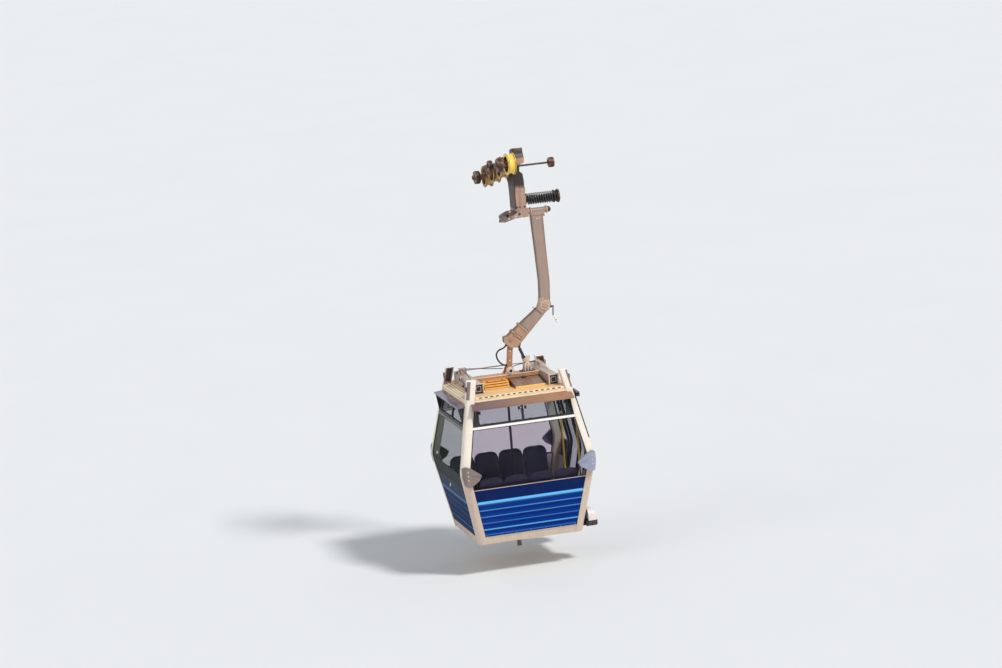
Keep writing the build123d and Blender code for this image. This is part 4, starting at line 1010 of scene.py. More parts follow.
def seat_point(s):
    """Middle line of a seat's sheet in Y and Z, s metres from its front edge."""
    if s <= PAN_LENGTH - SEAT_BEND:
        return SEAT_FRONT.lerp(SEAT_HEEL, s / PAN_LENGTH)
    if s >= PAN_LENGTH + SEAT_BEND:
        return SEAT_HEEL.lerp(SEAT_HEAD, (s - PAN_LENGTH) / BACK_LENGTH)
    t = (s - PAN_LENGTH + SEAT_BEND) / (2 * SEAT_BEND)
    before = SEAT_HEEL.lerp(SEAT_FRONT, SEAT_BEND / PAN_LENGTH)
    after = SEAT_HEEL.lerp(SEAT_HEAD, SEAT_BEND / BACK_LENGTH)
    return before * (1 - t) ** 2 + SEAT_HEEL * 2 * t * (1 - t) + after * t ** 2


def seat_width(s):
    """Half width of a seat s metres along, with soft corners at both ends and a slight waist."""
    for end, corner in ((s, 0.07), (SEAT_LENGTH - s, 0.11)):
        if end < corner:
            return SEAT_W / 2 - corner + sqrt(max(0.0, corner ** 2 - (corner - end) ** 2))
    return SEAT_W / 2 - 0.010 * sin(pi * s / SEAT_LENGTH)


def seat_shell():
    """Moulded seat: a bent sheet, dished between raised sides, with a wall of its own."""
    shape, step = bmesh.new(), 0.004
    bmesh.ops.create_grid(shape, x_segments=12, y_segments=28, size=1.0)
    for vert in shape.verts:
        s = (vert.co.y + 1) / 2 * SEAT_LENGTH
        middle, ahead = seat_point(s), seat_point(min(SEAT_LENGTH, s + step)) - seat_point(max(0, s - step))
        inward = Vector((ahead.y, -ahead.x)).normalized()
        lift = 0.010 * vert.co.x ** 4 - 0.005 * (1 - vert.co.x ** 2)
        y, z = middle + inward * lift
        vert.co = (vert.co.x * seat_width(s), y, z)
    bmesh.ops.recalc_face_normals(shape, faces=shape.faces[:])
    bmesh.ops.solidify(shape, geom=shape.faces[:], thickness=0.012)
    return shape


def seat_rim(place):
    """Rolled edge round a seat."""
    steps = [0.001, 0.012, 0.03, 0.07] + row(0.12, SEAT_LENGTH - 0.14, 12)
    steps += [SEAT_LENGTH - back for back in (0.11, 0.05, 0.02, 0.001)]
    right = [place @ Vector((seat_width(s), *seat_point(s))) for s in steps]
    left = [place @ Vector((-seat_width(s), *seat_point(s))) for s in reversed(steps)]
    return right + left


def seats():
    """Eight moulded shells in two rows that face each other, with rolled rims."""
    places = [CAB @ Matrix.Rotation(turn, 4, "Z") @ Matrix.Translation(((i - 1.5) * SEAT_PITCH, 0, 0))
              for turn in (0, pi) for i in range(4)]
    piece("seat_shells", "cabin", "seat", Parts().add(seat_shell(), *places), ("seats",))
    wire("seat_rims", "cabin", "seat", [seat_rim(place) for place in places], 0.008, closed=True)
    screws = Parts()
    for place in places:
        for x in (-0.12, 0.12):
            screws.add(rivet(0.008), *[place @ stand((x, y, -0.737), (0, 0, 1)) for y in (-0.60, -0.64)])
    piece("seat_screws", "cabin", "bright", screws)


def floor_mat():
    """Ribbed rubber mat over the floor, with its border."""
    mat = Parts()
    top = Z_BOTTOM + 0.045
    mat.add(slab(1.40, 1.26, 0.006, 0.002), cab(0, 0, top + 0.003))
    mat.add(slab(1.36, 0.010, 0.004), *[cab(0, y, top + 0.008) for y in row(-0.60, 0.60, 31)])
    piece("floor_mat", "cabin", "floor", mat)
    treads, wall = Parts(), half("side", Z_SILL)
    treads.add(slab(0.070, 2 * DOOR_HALF - 0.02, 0.005, 0.002), cab(wall - 0.060, 0, top + 0.003))
    treads.add(slab(0.006, 2 * DOOR_HALF - 0.04, 0.003),
               *[cab(wall - x, 0, top + 0.006) for x in row(0.034, 0.086, 4)])
    piece("door_tread", "cabin", "bright", treads)


def ceiling():
    """Pale ceiling with its lamp cover and air slots."""
    panel, lamp, slots = Parts(), Parts(), Parts()
    panel.add(slab(1.44, 1.28, 0.010, 0.003), cab(0, 0, Z_ROOF + 0.050))
    lamp.add(slab(0.120, 0.90, 0.024, 0.010), cab(-0.30, 0, Z_ROOF + 0.036), cab(0.30, 0, Z_ROOF + 0.036))
    for x in (-0.58, 0.58):
        slots.add(slab(0.060, 0.012, 0.004), *[cab(x, y, Z_ROOF + 0.045) for y in row(-0.45, 0.45, 16)])
    piece("ceiling_panel", "cabin", "liner", panel)
    piece("ceiling_lamps", "cabin", "lamp", lamp)
    piece("ceiling_slots", "cabin", "frame", slots)
    collar = ring(0.020, 0.045, -0.010, 0.004, 0.003)
    foot = ring(0.020, 0.055, 0.0, 0.014, 0.003)
    collars = Parts().add(collar, cab(0, 0, Z_ROOF + 0.045)).add(foot, cab(0, 0, Z_BOTTOM + 0.050))
    piece("centre_post_collars", "cabin", "dark_pole", collars)


def handle_collars():
    """Screwed collars at both ends of each yellow handle."""
    collars = Parts()
    for y in (-HANDLE_Y, HANDLE_Y):
        collars.add(ring(0.014, 0.021, -0.016, 0.016, 0.003),
                    *[cab(HANDLE_X, y, z) for z in (HANDLE_LOW, HANDLE_HIGH)])
        collars.add(turned([(0.015, -0.002), (0.013, 0.008), (0, 0.012)], 16),
                    cab(HANDLE_X, y, HANDLE_HIGH + 0.02), cab(HANDLE_X, y, HANDLE_LOW - 0.02, (0, 0, -1)))
    piece("handle_collars", "cabin", "pole", collars)


def underframe():
    """Folded cross members, lifting pads and the guide pin's flange under the floor."""
    bars, bolts = Parts(), Parts()
    channel = soft_corners([(-0.04, 0), (0.04, 0), (0.03, 0.030), (-0.03, 0.030)], (0, 0, 0.01, 0.01))
    for y in (-0.46, 0.46):
        bars.add(slab(1.36, 0.080, 0.028, 0.006), cab(0, y, Z_BOTTOM - 0.014))
        bolts.add(bolt(0.010, 0.009), *[cab(x, y, Z_BOTTOM - 0.028, (0, 0, -1)) for x in row(-0.60, 0.60, 5)])
    for x in (-0.36, 0.36):
        bars.add(slab(0.070, 0.84, 0.022, 0.005), cab(x, 0, Z_BOTTOM - 0.011))
    bars.add(plate(channel, 0.30), cab(-0.15, 0, Z_BOTTOM, (1, 0, 0), (0, 1, 0)))
    bars.add(disc(0.110, 0.016, 0.003, 32), cab(0, 0, Z_BOTTOM - 0.028, (0, 0, -1)))
    bolts.add(bolt(0.010, 0.009), *[cab(0.085 * cos(a), 0.085 * sin(a), Z_BOTTOM - 0.044, (0, 0, -1))
                                    for a in row(0, 5 * pi / 3, 6)])
    piece("underframe", "cabin", "tube", bars)
    piece("underframe_bolts", "cabin", "bright", bolts)
    tip = turned([(0.0355, 0.030), (0.0375, 0.024), (0.0375, 0.004), (0.034, 0.0), (0, 0.0)], 28)
    sleeve = ring(0.035, 0.044, 0.0, 0.060, 0.004, 28)
    pin = Parts().add(tip, cab(0, 0, -1.5055)).add(sleeve, cab(0, 0, Z_BOTTOM - 0.104))
    piece("guide_pin_sleeve", "cabin", "pin", pin)


# Roof

def roof_slots():
    """Slotted air strip along the front and rear roof edges: two rails and the webs between its slots."""
    strip, back = Parts(), Parts()
    count, end, slot_w, rail = 15, 0.695, 0.052, 0.010
    low, high = Z_STEP + 0.003, Z_DECK - 0.002
    web = (2 * end / count - slot_w) / 2
    for face in ("front", "rear"):
        back.add(wall_sheet(face, (low, high), -STEP_IN + 0.001, 0.001, 0.0, -end, end))
        for levels in ((low, low + rail), (high - rail, high)):
            strip.add(wall_sheet(face, levels, -STEP_IN + 0.002, 0.004, 0.0, -end, end))
        for x in row(-end, end, count + 1):
            x0, x1 = max(-end, x - web), min(end, x + web)
            strip.add(wall_sheet(face, (low + rail, high - rail), -STEP_IN + 0.002, 0.004, 0.0, x0, x1))
    piece("roof_slot_backs", "cabin", "frame", back)
    piece("roof_slot_strips", "cabin", "roof", strip)


def roof_ribs():
    """Three ribs down each sloping roof side, and the rolled bead along its lower edge."""
    runs, beads = [], []
    x0, x1 = half("side", Z_STEP), DECK_HALF
    reach = half("end", Z_STEP) - POST_FACE - 0.004
    for side in (-1, 1):
        for t in (0.22, 0.48, 0.74):
            x, z = x0 + (x1 - x0) * t, Z_STEP + (Z_DECK - Z_STEP) * t
            runs.append([cab(side * x, y, z + 0.001).translation for y in (-reach, reach)])
        beads.append([cab(side * (x0 + 0.002), y, Z_STEP - 0.002).translation for y in (-reach, reach)])
    wire("roof_side_ribs", "cabin", "roof", runs, 0.007)
    wire("roof_side_beads", "cabin", "white", beads, 0.008)


def roof_deck():
    """Tread strips, seam and rivets on the deck, and the drip rails in front and behind."""
    strips, rivets = Parts(), Parts()
    for sy in (-1, 1):
        y = sy * (half("end", Z_DECK) - 0.030)
        strips.add(slab(1.38, 0.022, 0.005, 0.002), cab(0, y, Z_DECK + 0.002))
        rivets.add(rivet(0.006), *[cab(x, y, Z_DECK + 0.0045) for x in row(-0.66, 0.66, 15)])
        strips.add(slab(1.03, 0.014, 0.004, 0.001),
                   *[cab(0, sy * edge, Z_DECK + 0.002) for edge in (0.580, 0.625, 0.670)])
    strips.add(slab(0.020, 0.52, 0.005, 0.002), *[cab(x, 0.36, Z_DECK + 0.002) for x in (-0.02, 0.30, -0.34)])
    piece("deck_strips", "cabin", "deck", strips)
    piece("deck_rivets", "cabin", "bright", rivets)
    drips = Parts()
    for face in ("front", "rear"):
        for low, high, thick in ((Z_ROOF + 0.058, Z_ROOF + 0.068, 0.008),
                                 (Z_STEP - 0.010, Z_STEP - 0.001, 0.006)):
            drips.add(wall_sheet(face, (low, high), 0.001, thick, 0.004))
    piece("roof_drip_rails", "cabin", "roof", drips)


def tube_fittings():
    """Pale end frames, feet and bolts of the two roof tubes."""
    frames, plugs, feet, bolts = Parts(), Parts(), Parts(), Parts()
    wide, high, square = TUBE_W / 2 + 0.003, TUBE_H / 2 + 0.003, 0.040
    z = Z_DECK + TUBE_H / 2
    for sx, sy in corners():
        x, end, inset, foot = sx * TUBE_X, *[sy * (TUBE_HALF - back) for back in (0.006, 0.024, 0.100)]
        frames.add(slab(2 * wide + 0.012, 0.026, 0.012, 0.003),
                   *[cab(x, end, z + dz + 0.001) for dz in (-high, high)])
        frames.add(slab(0.012, 0.026, 2 * high, 0.003), *[cab(x + dx, end, z) for dx in (-wide, wide)])
        plugs.add(slab(TUBE_W - 0.010, 0.006, TUBE_H - 0.010, 0.001), cab(x, sy * (TUBE_HALF - 0.030), z))
        frames.add(slab(0.084, 0.006, 0.007, 0.002), *[cab(x, inset, z + dz) for dz in (-square, square)])
        frames.add(slab(0.007, 0.006, 0.084, 0.002), *[cab(x + dx, inset, z) for dx in (-square, square)])
        feet.add(slab(0.220, 0.070, 0.008, 0.002), cab(x, foot, Z_DECK + 0.004))
        bolts.add(bolt(0.010, 0.010), *[cab(x + dx, foot, Z_DECK + 0.008) for dx in (-0.095, 0.095)])
        bolts.add(bolt(0.010, 0.009), *[cab(x, sy * at, Z_DECK + TUBE_H) for at in (0.15, 0.50)])
    piece("tube_end_frames", "cabin", "pale", frames)
    piece("tube_plugs", "cabin", "frame", plugs)
    piece("tube_feet", "cabin", "tube", feet)
    piece("tube_bolts", "cabin", "bright", bolts)


def beam_fittings():
    """Pivot nuts, clevis cheeks, gussets and the bolts of the cross beam."""
    nuts, holes, cheeks, bolts = Parts(), Parts(), Parts(), Parts()
    teardrop = soft_corners([(-0.080, -0.118), (0.080, -0.118), (0.034, 0.030), (-0.034, 0.030)],
                            (0.010, 0.010, 0.032, 0.032), 6)
    for side in (-1, 1):
        out = (0, side, 0)
        boss = cab(BOSS.x, side * (EAR_FACE + 0.012), BOSS.z, out)
        nuts.add(ring(0.017, 0.048, 0.0, 0.020, 0.003, 6), boss)
        nuts.add(ring(0.026, 0.064, -0.012, -0.004, 0.002, 32), boss)
        holes.add(disc(0.026, 0.0215, 0.001), boss)
        cheeks.add(plate(teardrop, 0.004, 0.001), cab(CLEVIS.x, side * CLEVIS_FACE, CLEVIS.z, out, (1, 0, 0)))
        cheeks.add(slab(0.012, 0.036, 0.100, 0.002),
                   *[cab(CLEVIS.x + dx, side * (CLEVIS_FACE + 0.018), 1.390) for dx in (-0.045, 0.0, 0.045)])
        nuts.add(ring(0.010, 0.017, 0.0, 0.010, 0.002, 6), cab(CLEVIS.x, side * 0.040, CLEVIS.z, out))
        bolts.add(bolt(0.010, 0.010),
                  *[cab(x, side * 0.055, BEAM_TOP) for x in (-0.46, -0.40, -0.12, 0.20, 0.47, 0.52)])
        bolts.add(bolt(0.009, 0.009),
                  *[cab(BOSS.x + dx, side * EAR_FACE, 1.352, out) for dx in (-0.070, 0.070)])
    edge = Parts().add(slab(1.085, 0.010, 0.018, 0.002), cab(0, -BEAM_HALF - 0.004, BEAM_TOP - 0.010))
    base = Parts().add(slab(0.240, 0.140, 0.012, 0.003), cab(CLEVIS.x, 0, BEAM_TOP + 0.006))
    piece("beam_edge", "cabin", "pale", edge)
    piece("pivot_nuts", "cabin", "pale", nuts)
    piece("pivot_bores", "cabin", "seal", holes)
    piece("clevis_cheeks", "cabin", "pale", cheeks)
    piece("clevis_base", "cabin", "dark_steel", base)
    piece("beam_bolts", "cabin", "bright", bolts)
    gussets, leg, upright = Parts(), 0.085, Matrix.Rotation(pi / 2, 4, "X")
    for side in (-1, 1):
        for y in (-0.062, 0.056):
            corner = Matrix.Translation((side * 0.545, y, BEAM_TOP - 0.07)) @ Matrix.Diagonal((-side, 1, -1, 1))
            gussets.add(plate([(0, 0), (leg, 0), (0, leg)], 0.006), CAB @ corner @ upright)
    bmesh.ops.recalc_face_normals(gussets.shape, faces=gussets.shape.faces[:])
    piece("beam_gussets", "cabin", "beam", gussets)


def solar_fittings():
    """Frame of the dark panel, with its bright front edge and the junction box at its back."""
    trims, frames = Parts(), Parts()
    y0, y1, x0, x1 = -0.545, -0.090, 0.005, 0.505
    z0, z1 = Z_DECK + 0.026, Z_DECK + 0.090
    slope, up = Vector((0, y1 - y0, z1 - z0)), (0, z0 - z1, y1 - y0)
    middle = Vector(((x0 + x1) / 2, (y0 + y1) / 2, (z0 + z1) / 2))
    trims.add(slab(x1 - x0 + 0.008, 0.010, 0.032, 0.002), cab(middle.x, y0 - 0.003, Z_DECK + 0.016))
    trims.add(slab(x1 - x0 + 0.008, 0.016, 0.004, 0.001), cab(middle.x, y0 + 0.006, z0 + 0.003))
    frames.add(slab(0.014, slope.length, 0.006, 0.001),
               *[cab(x, middle.y, middle.z + 0.002, up) for x in (x0, x1)])
    frames.add(slab(x1 - x0, 0.014, 0.006, 0.001), cab(middle.x, y1 - 0.008, z1 + 0.001, up))
    frames.add(slab(0.080, 0.055, 0.020, 0.004), cab(middle.x, y1 - 0.050, z1 + 0.004, up))
    piece("solar_front_edge", "cabin", "trim", trims)
    piece("solar_frame", "cabin", "dark_steel", frames)


def box_fittings():
    """Dark slots and bright lips of the box's louvres, its end plates and the gaps beside its lid."""
    slots, ends, lips = Parts(), Parts(), Parts()
    middle, front, back = -0.245, -0.345, -0.095
    for i in range(3):
        y, z = front + i * 0.028, Z_DECK + i * 0.035
        lips.add(slab(0.400, 0.006, 0.012, 0.002), cab(middle, y - 0.012, z + 0.012))
        slots.add(slab(0.340, 0.004, 0.009, 0.001), cab(middle, y + 0.016, z + 0.034))
    outline = [(front, 0), (-0.330, 0.025), (-0.255, 0.102), (back, 0.102), (back, 0)]
    for side in (-1, 1):
        ends.add(plate([(side * a, b) for a, b in outline], 0.004, 0.001),
                 cab(middle + side * 0.206, 0, Z_DECK, (side, 0, 0), (0, side, 0)))
    slots.add(slab(0.022, 0.004, 0.060), *[cab(x, -0.20, Z_DECK + 0.106, (0, 1, 0)) for x in (-0.37, -0.12)])
    piece("box_louvre_lips", "cabin", "trim", lips)
    piece("box_slots", "cabin", "frame", slots)
    piece("box_ends", "cabin", "dark_steel", ends)


def drive_fittings():
    """Lid and pivots of the door drive, and the leads and stays across the roof."""
    lid, pivots = Parts(), Parts()
    x, y, top = -0.630, 0.305, Z_DECK + TUBE_H + 0.088
    lid.add(slab(0.118, 0.118, 0.010, 0.003), cab(x, y, top + 0.004))
    lid.add(bolt(0.006, 0.006), *[cab(x + sx * 0.045, y + sy * 0.045, top + 0.009) for sx, sy in corners()])
    out = -TUBE_X - TUBE_W / 2 - 0.026
    for back, z in ((0.0, 1.388), (0.150, 1.300), (0.330, 1.226)):
        pivots.add(disc(0.024, 0.010, 0.002), cab(out, y - back, z, (-1, 0, 0)))
        pivots.add(bolt(0.012, 0.012), cab(out - 0.010, y - back, z, (-1, 0, 0)))
    piece("drive_lid", "cabin", "drive", lid)
    piece("drive_pivots", "cabin", "dark_steel", pivots)

    post_x, post_y = post_at(Z_TOP)
    leads = [[(-0.60, 0.26, 1.44), (-0.50, 0.16, 1.452), (-0.20, 0.03, 1.432), (-0.02, 0.085, 1.405)],
             [(-0.66, 0.26, 1.44), (-0.68, 0.0, 1.46), (-0.70, -0.35, 1.43),
              (-post_x + 0.06, -post_y + 0.06, 1.36)],
             [(0.14, 0.085, 1.41), (0.20, 0.12, 1.425), (0.48, 0.22, 1.43), (0.58, 0.28, 1.425)]]
    stays = [[(0.56, 0.27, 1.438), (0.60, 0.12, 1.432), (0.655, -0.12, 1.372), (0.668, -0.17, 1.352)],
             [(0.60, 0.36, 1.42), (0.66, 0.18, 1.415), (0.685, -0.04, 1.36), (0.690, -0.08, 1.350)]]
    leads, stays = ([[cab(*point).translation for point in run] for run in runs] for runs in (leads, stays))
    wire("roof_leads", "cabin", "lead", leads, 0.006, smooth=True)
    wire("roof_stays", "cabin", "pale", stays, 0.010)


# Hanger

def hang(x, z, side):
    """Place on the hanger's front (-1) or rear (1) face, in the cabin's measures."""
    return cab(x, side * ARM_HALF, z, (0, side, 0), (1, 0, 0))


def arm_edges():
    """Weld beads and edge flanges down both edges of the two arms."""
    left = [(0.612, 3.845), (0.640, 3.300), (0.665, 2.760), (0.655, 2.500)]
    right = [(0.805, 3.845), (0.815, 3.300), (0.832, 2.760), (0.815, 2.430)]
    lower = [(0.600, 2.330), (0.080, 1.945)]
    under = [(0.700, 2.235), (0.205, 1.745)]
    face = ARM_HALF + 0.0005
    runs = [[cab(x + inset, side * face, z).translation for x, z in line] for side in (-1, 1)
            for line, inset in ((left, 0.007), (right, -0.007), (lower, 0.0), (under, 0.0))]
    wire("arm_welds", "hanger", "hanger", runs, 0.006)


def arm_fittings():
    """Rings at the shaft boss, elbow discs with their bolts, and the lower arm's collars, seams and pins."""
    discs, bolts, pins = Parts(), Parts(), Parts()
    discs.add(ring(0.0445, 0.060, -0.012, 0.012, 0.003, 32),
              *[cab(x, 0, SHAFT_BOSS_Z, (1, 0, 0)) for x in (0.619, 0.884)])
    circle, raised = 0.064, Matrix.Translation((0, 0, 0.012))
    for side in (-1, 1):
        discs.add(disc(0.086, 0.012, 0.004, 40), hang(ELBOW_X, ELBOW_Z, side))
        discs.add(disc(0.040, 0.022, 0.004, 32), hang(ELBOW_X, ELBOW_Z, side))
        bolts.add(bolt(0.010, 0.010),
                  *[hang(ELBOW_X + circle * cos(a), ELBOW_Z + circle * sin(a), side) @ raised
                    for a in row(0, 7 * pi / 4, 8)])
        bolts.add(bolt(0.011, 0.010), *[hang(x, z, side) for x, z in ((0.735, 3.780), (0.700, 3.780),
                                                                      (0.690, 2.480), (0.790, 2.440))])
        for x, z in ((0.116, 1.880), (0.195, 1.955)):
            pins.add(ring(0.012, 0.034, 0.0, 0.012, 0.002, 28), hang(x, z, side))
            pins.add(bolt(0.018, 0.016), hang(x, z, side))
        x, z = (DAMPER_TOP.x, DAMPER_TOP.z + 0.055) if side < 0 else (0.300, 1.880)
        pins.add(bolt(0.010, 0.010), hang(x, z, side))
    collars, along = Parts(), Vector((1, 0, 1)).normalized()
    for x, z, width in ((0.215, 1.945, 0.215), (0.330, 2.045, 0.195)):
        collars.add(slab(width, 0.034, 0.010, 0.003),
                    *[cab(x, side * (ARM_HALF + 0.004), z, (0, side, 0), (along.z, 0, -along.x))
                      for side in (-1, 1)])
    piece("hanger_discs", "hanger", "rib_brown", discs)
    piece("hanger_bolts", "hanger", "bright", bolts)
    piece("hanger_pins", "hanger", "link", pins)
    piece("arm_collars", "hanger", "casting", collars)
    seams, face = [], ARM_HALF + 0.001
    for side in (-1, 1):
        for x, z, off, reach in ((0.215, 1.945, 0.020, 0.100), (0.215, 1.945, -0.020, 0.100),
                                 (0.330, 2.045, 0.020, 0.092), (0.600, 2.290, 0.0, 0.078)):
            seams.append([cab(x + along.x * (off + w), side * face, z + along.z * (off - w)).translation
                          for w in (-reach, reach)])
    wire("arm_seams", "hanger", "dark_steel", seams, 0.005)


def link_fittings():
    """Bolts and ribs down the drop link's faces, and the glands at both ends of the thick lead."""
    pins, ribs, face = Parts(), Parts(), 0.0295
    for side in (-1, 1):
        pins.add(bolt(0.011, 0.010), *[cab(x, side * face, z, (0, side, 0))
                                       for x, z in ((0.108, 1.800), (0.095, 1.690), (0.078, 1.540))])
        ribs.add(plate([(-0.010, 0), (0.010, 0), (0.010, 0.290), (-0.010, 0.290)], 0.008, 0.002),
                 cab(0.070, side * face, 1.455, (0, side, 0), (side, 0, -0.10 * side)))
    gland = turned([(0.013, -0.002), (0.020, 0.0), (0.020, 0.016), (0.015, 0.024), (0.0135, 0.034)], 16)
    glands = Parts().add(gland, cab(0.0398, -0.045, 1.8098, (-0.707, 0, -0.707)),
                         cab(0.0256, -0.012, 1.470, (-1, 0, 0.1)))
    piece("link_bolts", "hanger", "bright", pins)
    piece("link_ribs", "hanger", "link", ribs)
    piece("cable_glands", "hanger", "frame", glands)


def damper_fittings():
    """Rings round the damper's tube, and the collar on its rod."""
    along = (CLEVIS - DAMPER_TOP).normalized()
    rings = Parts()
    for at, radius in ((0.040, 0.028), (0.052, 0.027), (0.190, 0.028), (0.200, 0.026)):
        rings.add(ring(0.0235, radius, 0.0, 0.008, 0.002), cab(*(DAMPER_TOP + along * at), along))
    piece("damper_rings", "damper_tube", "dark_steel", rings)
    collar = Parts().add(ring(0.008, 0.014, 0.0, 0.016, 0.002, 18), cab(*(CLEVIS - along * 0.045), along))
    piece("rod_collar", "damper_rod", "bright", collar)


def crank_fittings():
    """Turned grip, end knob and hub of the hand crank."""
    start, end = Vector((0.862, 0, 2.192)), Vector((0.918, 0, 2.077))
    along = (end - start).normalized()
    grip = turned([(0.0095, 0.010), (0.014, 0.014), (0.015, 0.050), (0.013, 0.086), (0.0095, 0.092)], 18)
    knob = turned([(0, -0.001), (0.0225, 0.002), (0.025, 0.014), (0.022, 0.030), (0.012, 0.042), (0, 0.045)],
                  22)
    made = Parts().add(grip, cab(*start, along)).add(knob, cab(*(end - along * 0.021), along))
    piece("crank_grip", "hanger", "white", made)
    hub = Parts().add(ring(0.0155, 0.024, 0.0, 0.014, 0.003), cab(0.830, 0, 2.330, (1, 0, 0)))
    piece("crank_hub", "hanger", "dark_steel", hub)


# Carriage

def both_faces(axle):
    """A wheel's place, turned over for its far face first."""
    return axle @ Matrix.Rotation(pi, 4, "X"), axle


def round_about(place, count, radius, up, start=0.0):
    """Evenly spaced places round local Z, each turned to face outwards."""
    return [place @ Matrix.Rotation(start + i * 2 * pi / count, 4, "Z") @ Matrix.Translation((radius, 0, up))
            for i in range(count)]


def wheel_fittings(number, y):
    """Yellow liner, ribs, hub rings and bolts of one track wheel."""
    body = f"track_wheel_{number}"
    axle = on_line(0, y, AXLE_Z, *AXLE)
    seat, w, r, g = 0.128, WHEEL_HALF + 0.0006, WHEEL_R + 0.0012, GROOVE_R + 0.0012
    half_rim = [(seat, w - 0.004), (seat, w), (r - 0.004, w), (r, w - 0.004), (r, w - 0.010),
                (g + 0.016, 0.036), (g + 0.004, 0.024), (g, 0.012)]
    rim = [(radius, -x) for radius, x in half_rim[1:]] + half_rim[::-1]
    rim += [(radius, -x) for radius, x in half_rim[:2]]
    # Wheel 1 gets the bright yellow liner, the others a darker yellow-brown one
    liner = "fresh_liner" if number == 1 else "darker_liner"
    piece(f"{body}_liner", body, liner, Parts().add(turned(rim, 48), axle))
    ribs, bolts = Parts(), Parts()
    for turn in both_faces(axle):
        ribs.add(slab(0.058, 0.008, 0.026, 0.002), *round_about(turn, 8, 0.089, DISH_X + 0.010))
        ribs.add(ring(0.0305, 0.052, WHEEL_HALF + 0.002, WHEEL_HALF + 0.008, 0.002, 32), turn)
        bolts.add(bolt(0.006, 0.006), *round_about(turn, 6, 0.052, WHEEL_HALF + 0.004, pi / 6))
    piece(f"{body}_ribs", body, "wheel", ribs)
    piece(f"{body}_bolts", body, "bright", bolts)


def roller_fittings(body, place, face, radius, bore, bolted=True):
    """Tyre band, face rings and bolts of one side roller, whose faces lie so far from its middle."""
    band = ring(radius - 0.004, radius + 0.0015, -face + 0.012, face - 0.012, 0.002, 40)
    piece(f"{body}_tyre", body, "rim", Parts().add(band, place))
    rings, bolts = Parts(), Parts()
    for turn in both_faces(place):
        rings.add(ring(radius * 0.86, radius * 0.94, face - 0.002, face + 0.003, 0.001, 36), turn)
        rings.add(ring(bore + 0.001, bore + 0.018, face - 0.002, face + 0.0025, 0.001, 28), turn)
        bolts.add(bolt(0.006, 0.005), *round_about(turn, 6, radius * 0.66, face))
    piece(f"{body}_rings", body, "wheel", rings)
    if bolted:
        piece(f"{body}_bolts", body, "bright", bolts)


def bogie_fittings():
    """Nuts and bosses at the axles and pivots, and the spacer bars of the two bogies."""
    nuts, bars, bar_half = Parts(), Parts(), 0.076
    for side in (-1, 1):
        pivot = side * BOGIE_Y
        nuts.add(ring(0.010, 0.046, 0.0, 0.014, 0.003, 6), on_line(-0.113, pivot, BOGIE_Z, *AXLE_BACK))
        for y in WHEEL_Y:
            if y * side > 0:
                left = -0.238 if abs(y) > BOGIE_Y else -0.113
                nuts.add(ring(0.008, 0.036, 0.0, 0.014, 0.003, 6), on_line(left, y, AXLE_Z, *AXLE_BACK))
                nuts.add(ring(0.008, 0.036, 0.0, 0.012, 0.003, 6), on_line(0.0965, y, AXLE_Z, *AXLE))
                bars.add(disc(0.046, 0.006, 0.002, 28), on_line(-PLATE_FACE, y, AXLE_Z, (-1, 0, 0)))
        bars.add(disc(0.058, 0.008, 0.002, 32), on_line(-PLATE_FACE, pivot, BOGIE_Z, (-1, 0, 0)))
        for y in (pivot - 0.032, pivot + 0.032):
            bars.add(turned([(0, -bar_half), (0.009, -bar_half), (0.009, bar_half), (0, bar_half)], 14),
                     on_line(0, y, BOGIE_Z + 0.052, (1, 0, 0)))
            nuts.add(bolt(0.010, 0.009), on_line(-PLATE_FACE, y, BOGIE_Z + 0.052, (-1, 0, 0)))
    piece("bogie_nuts", "carriage", "dark_steel", nuts)
    piece("bogie_bosses", "carriage", "carriage", bars)


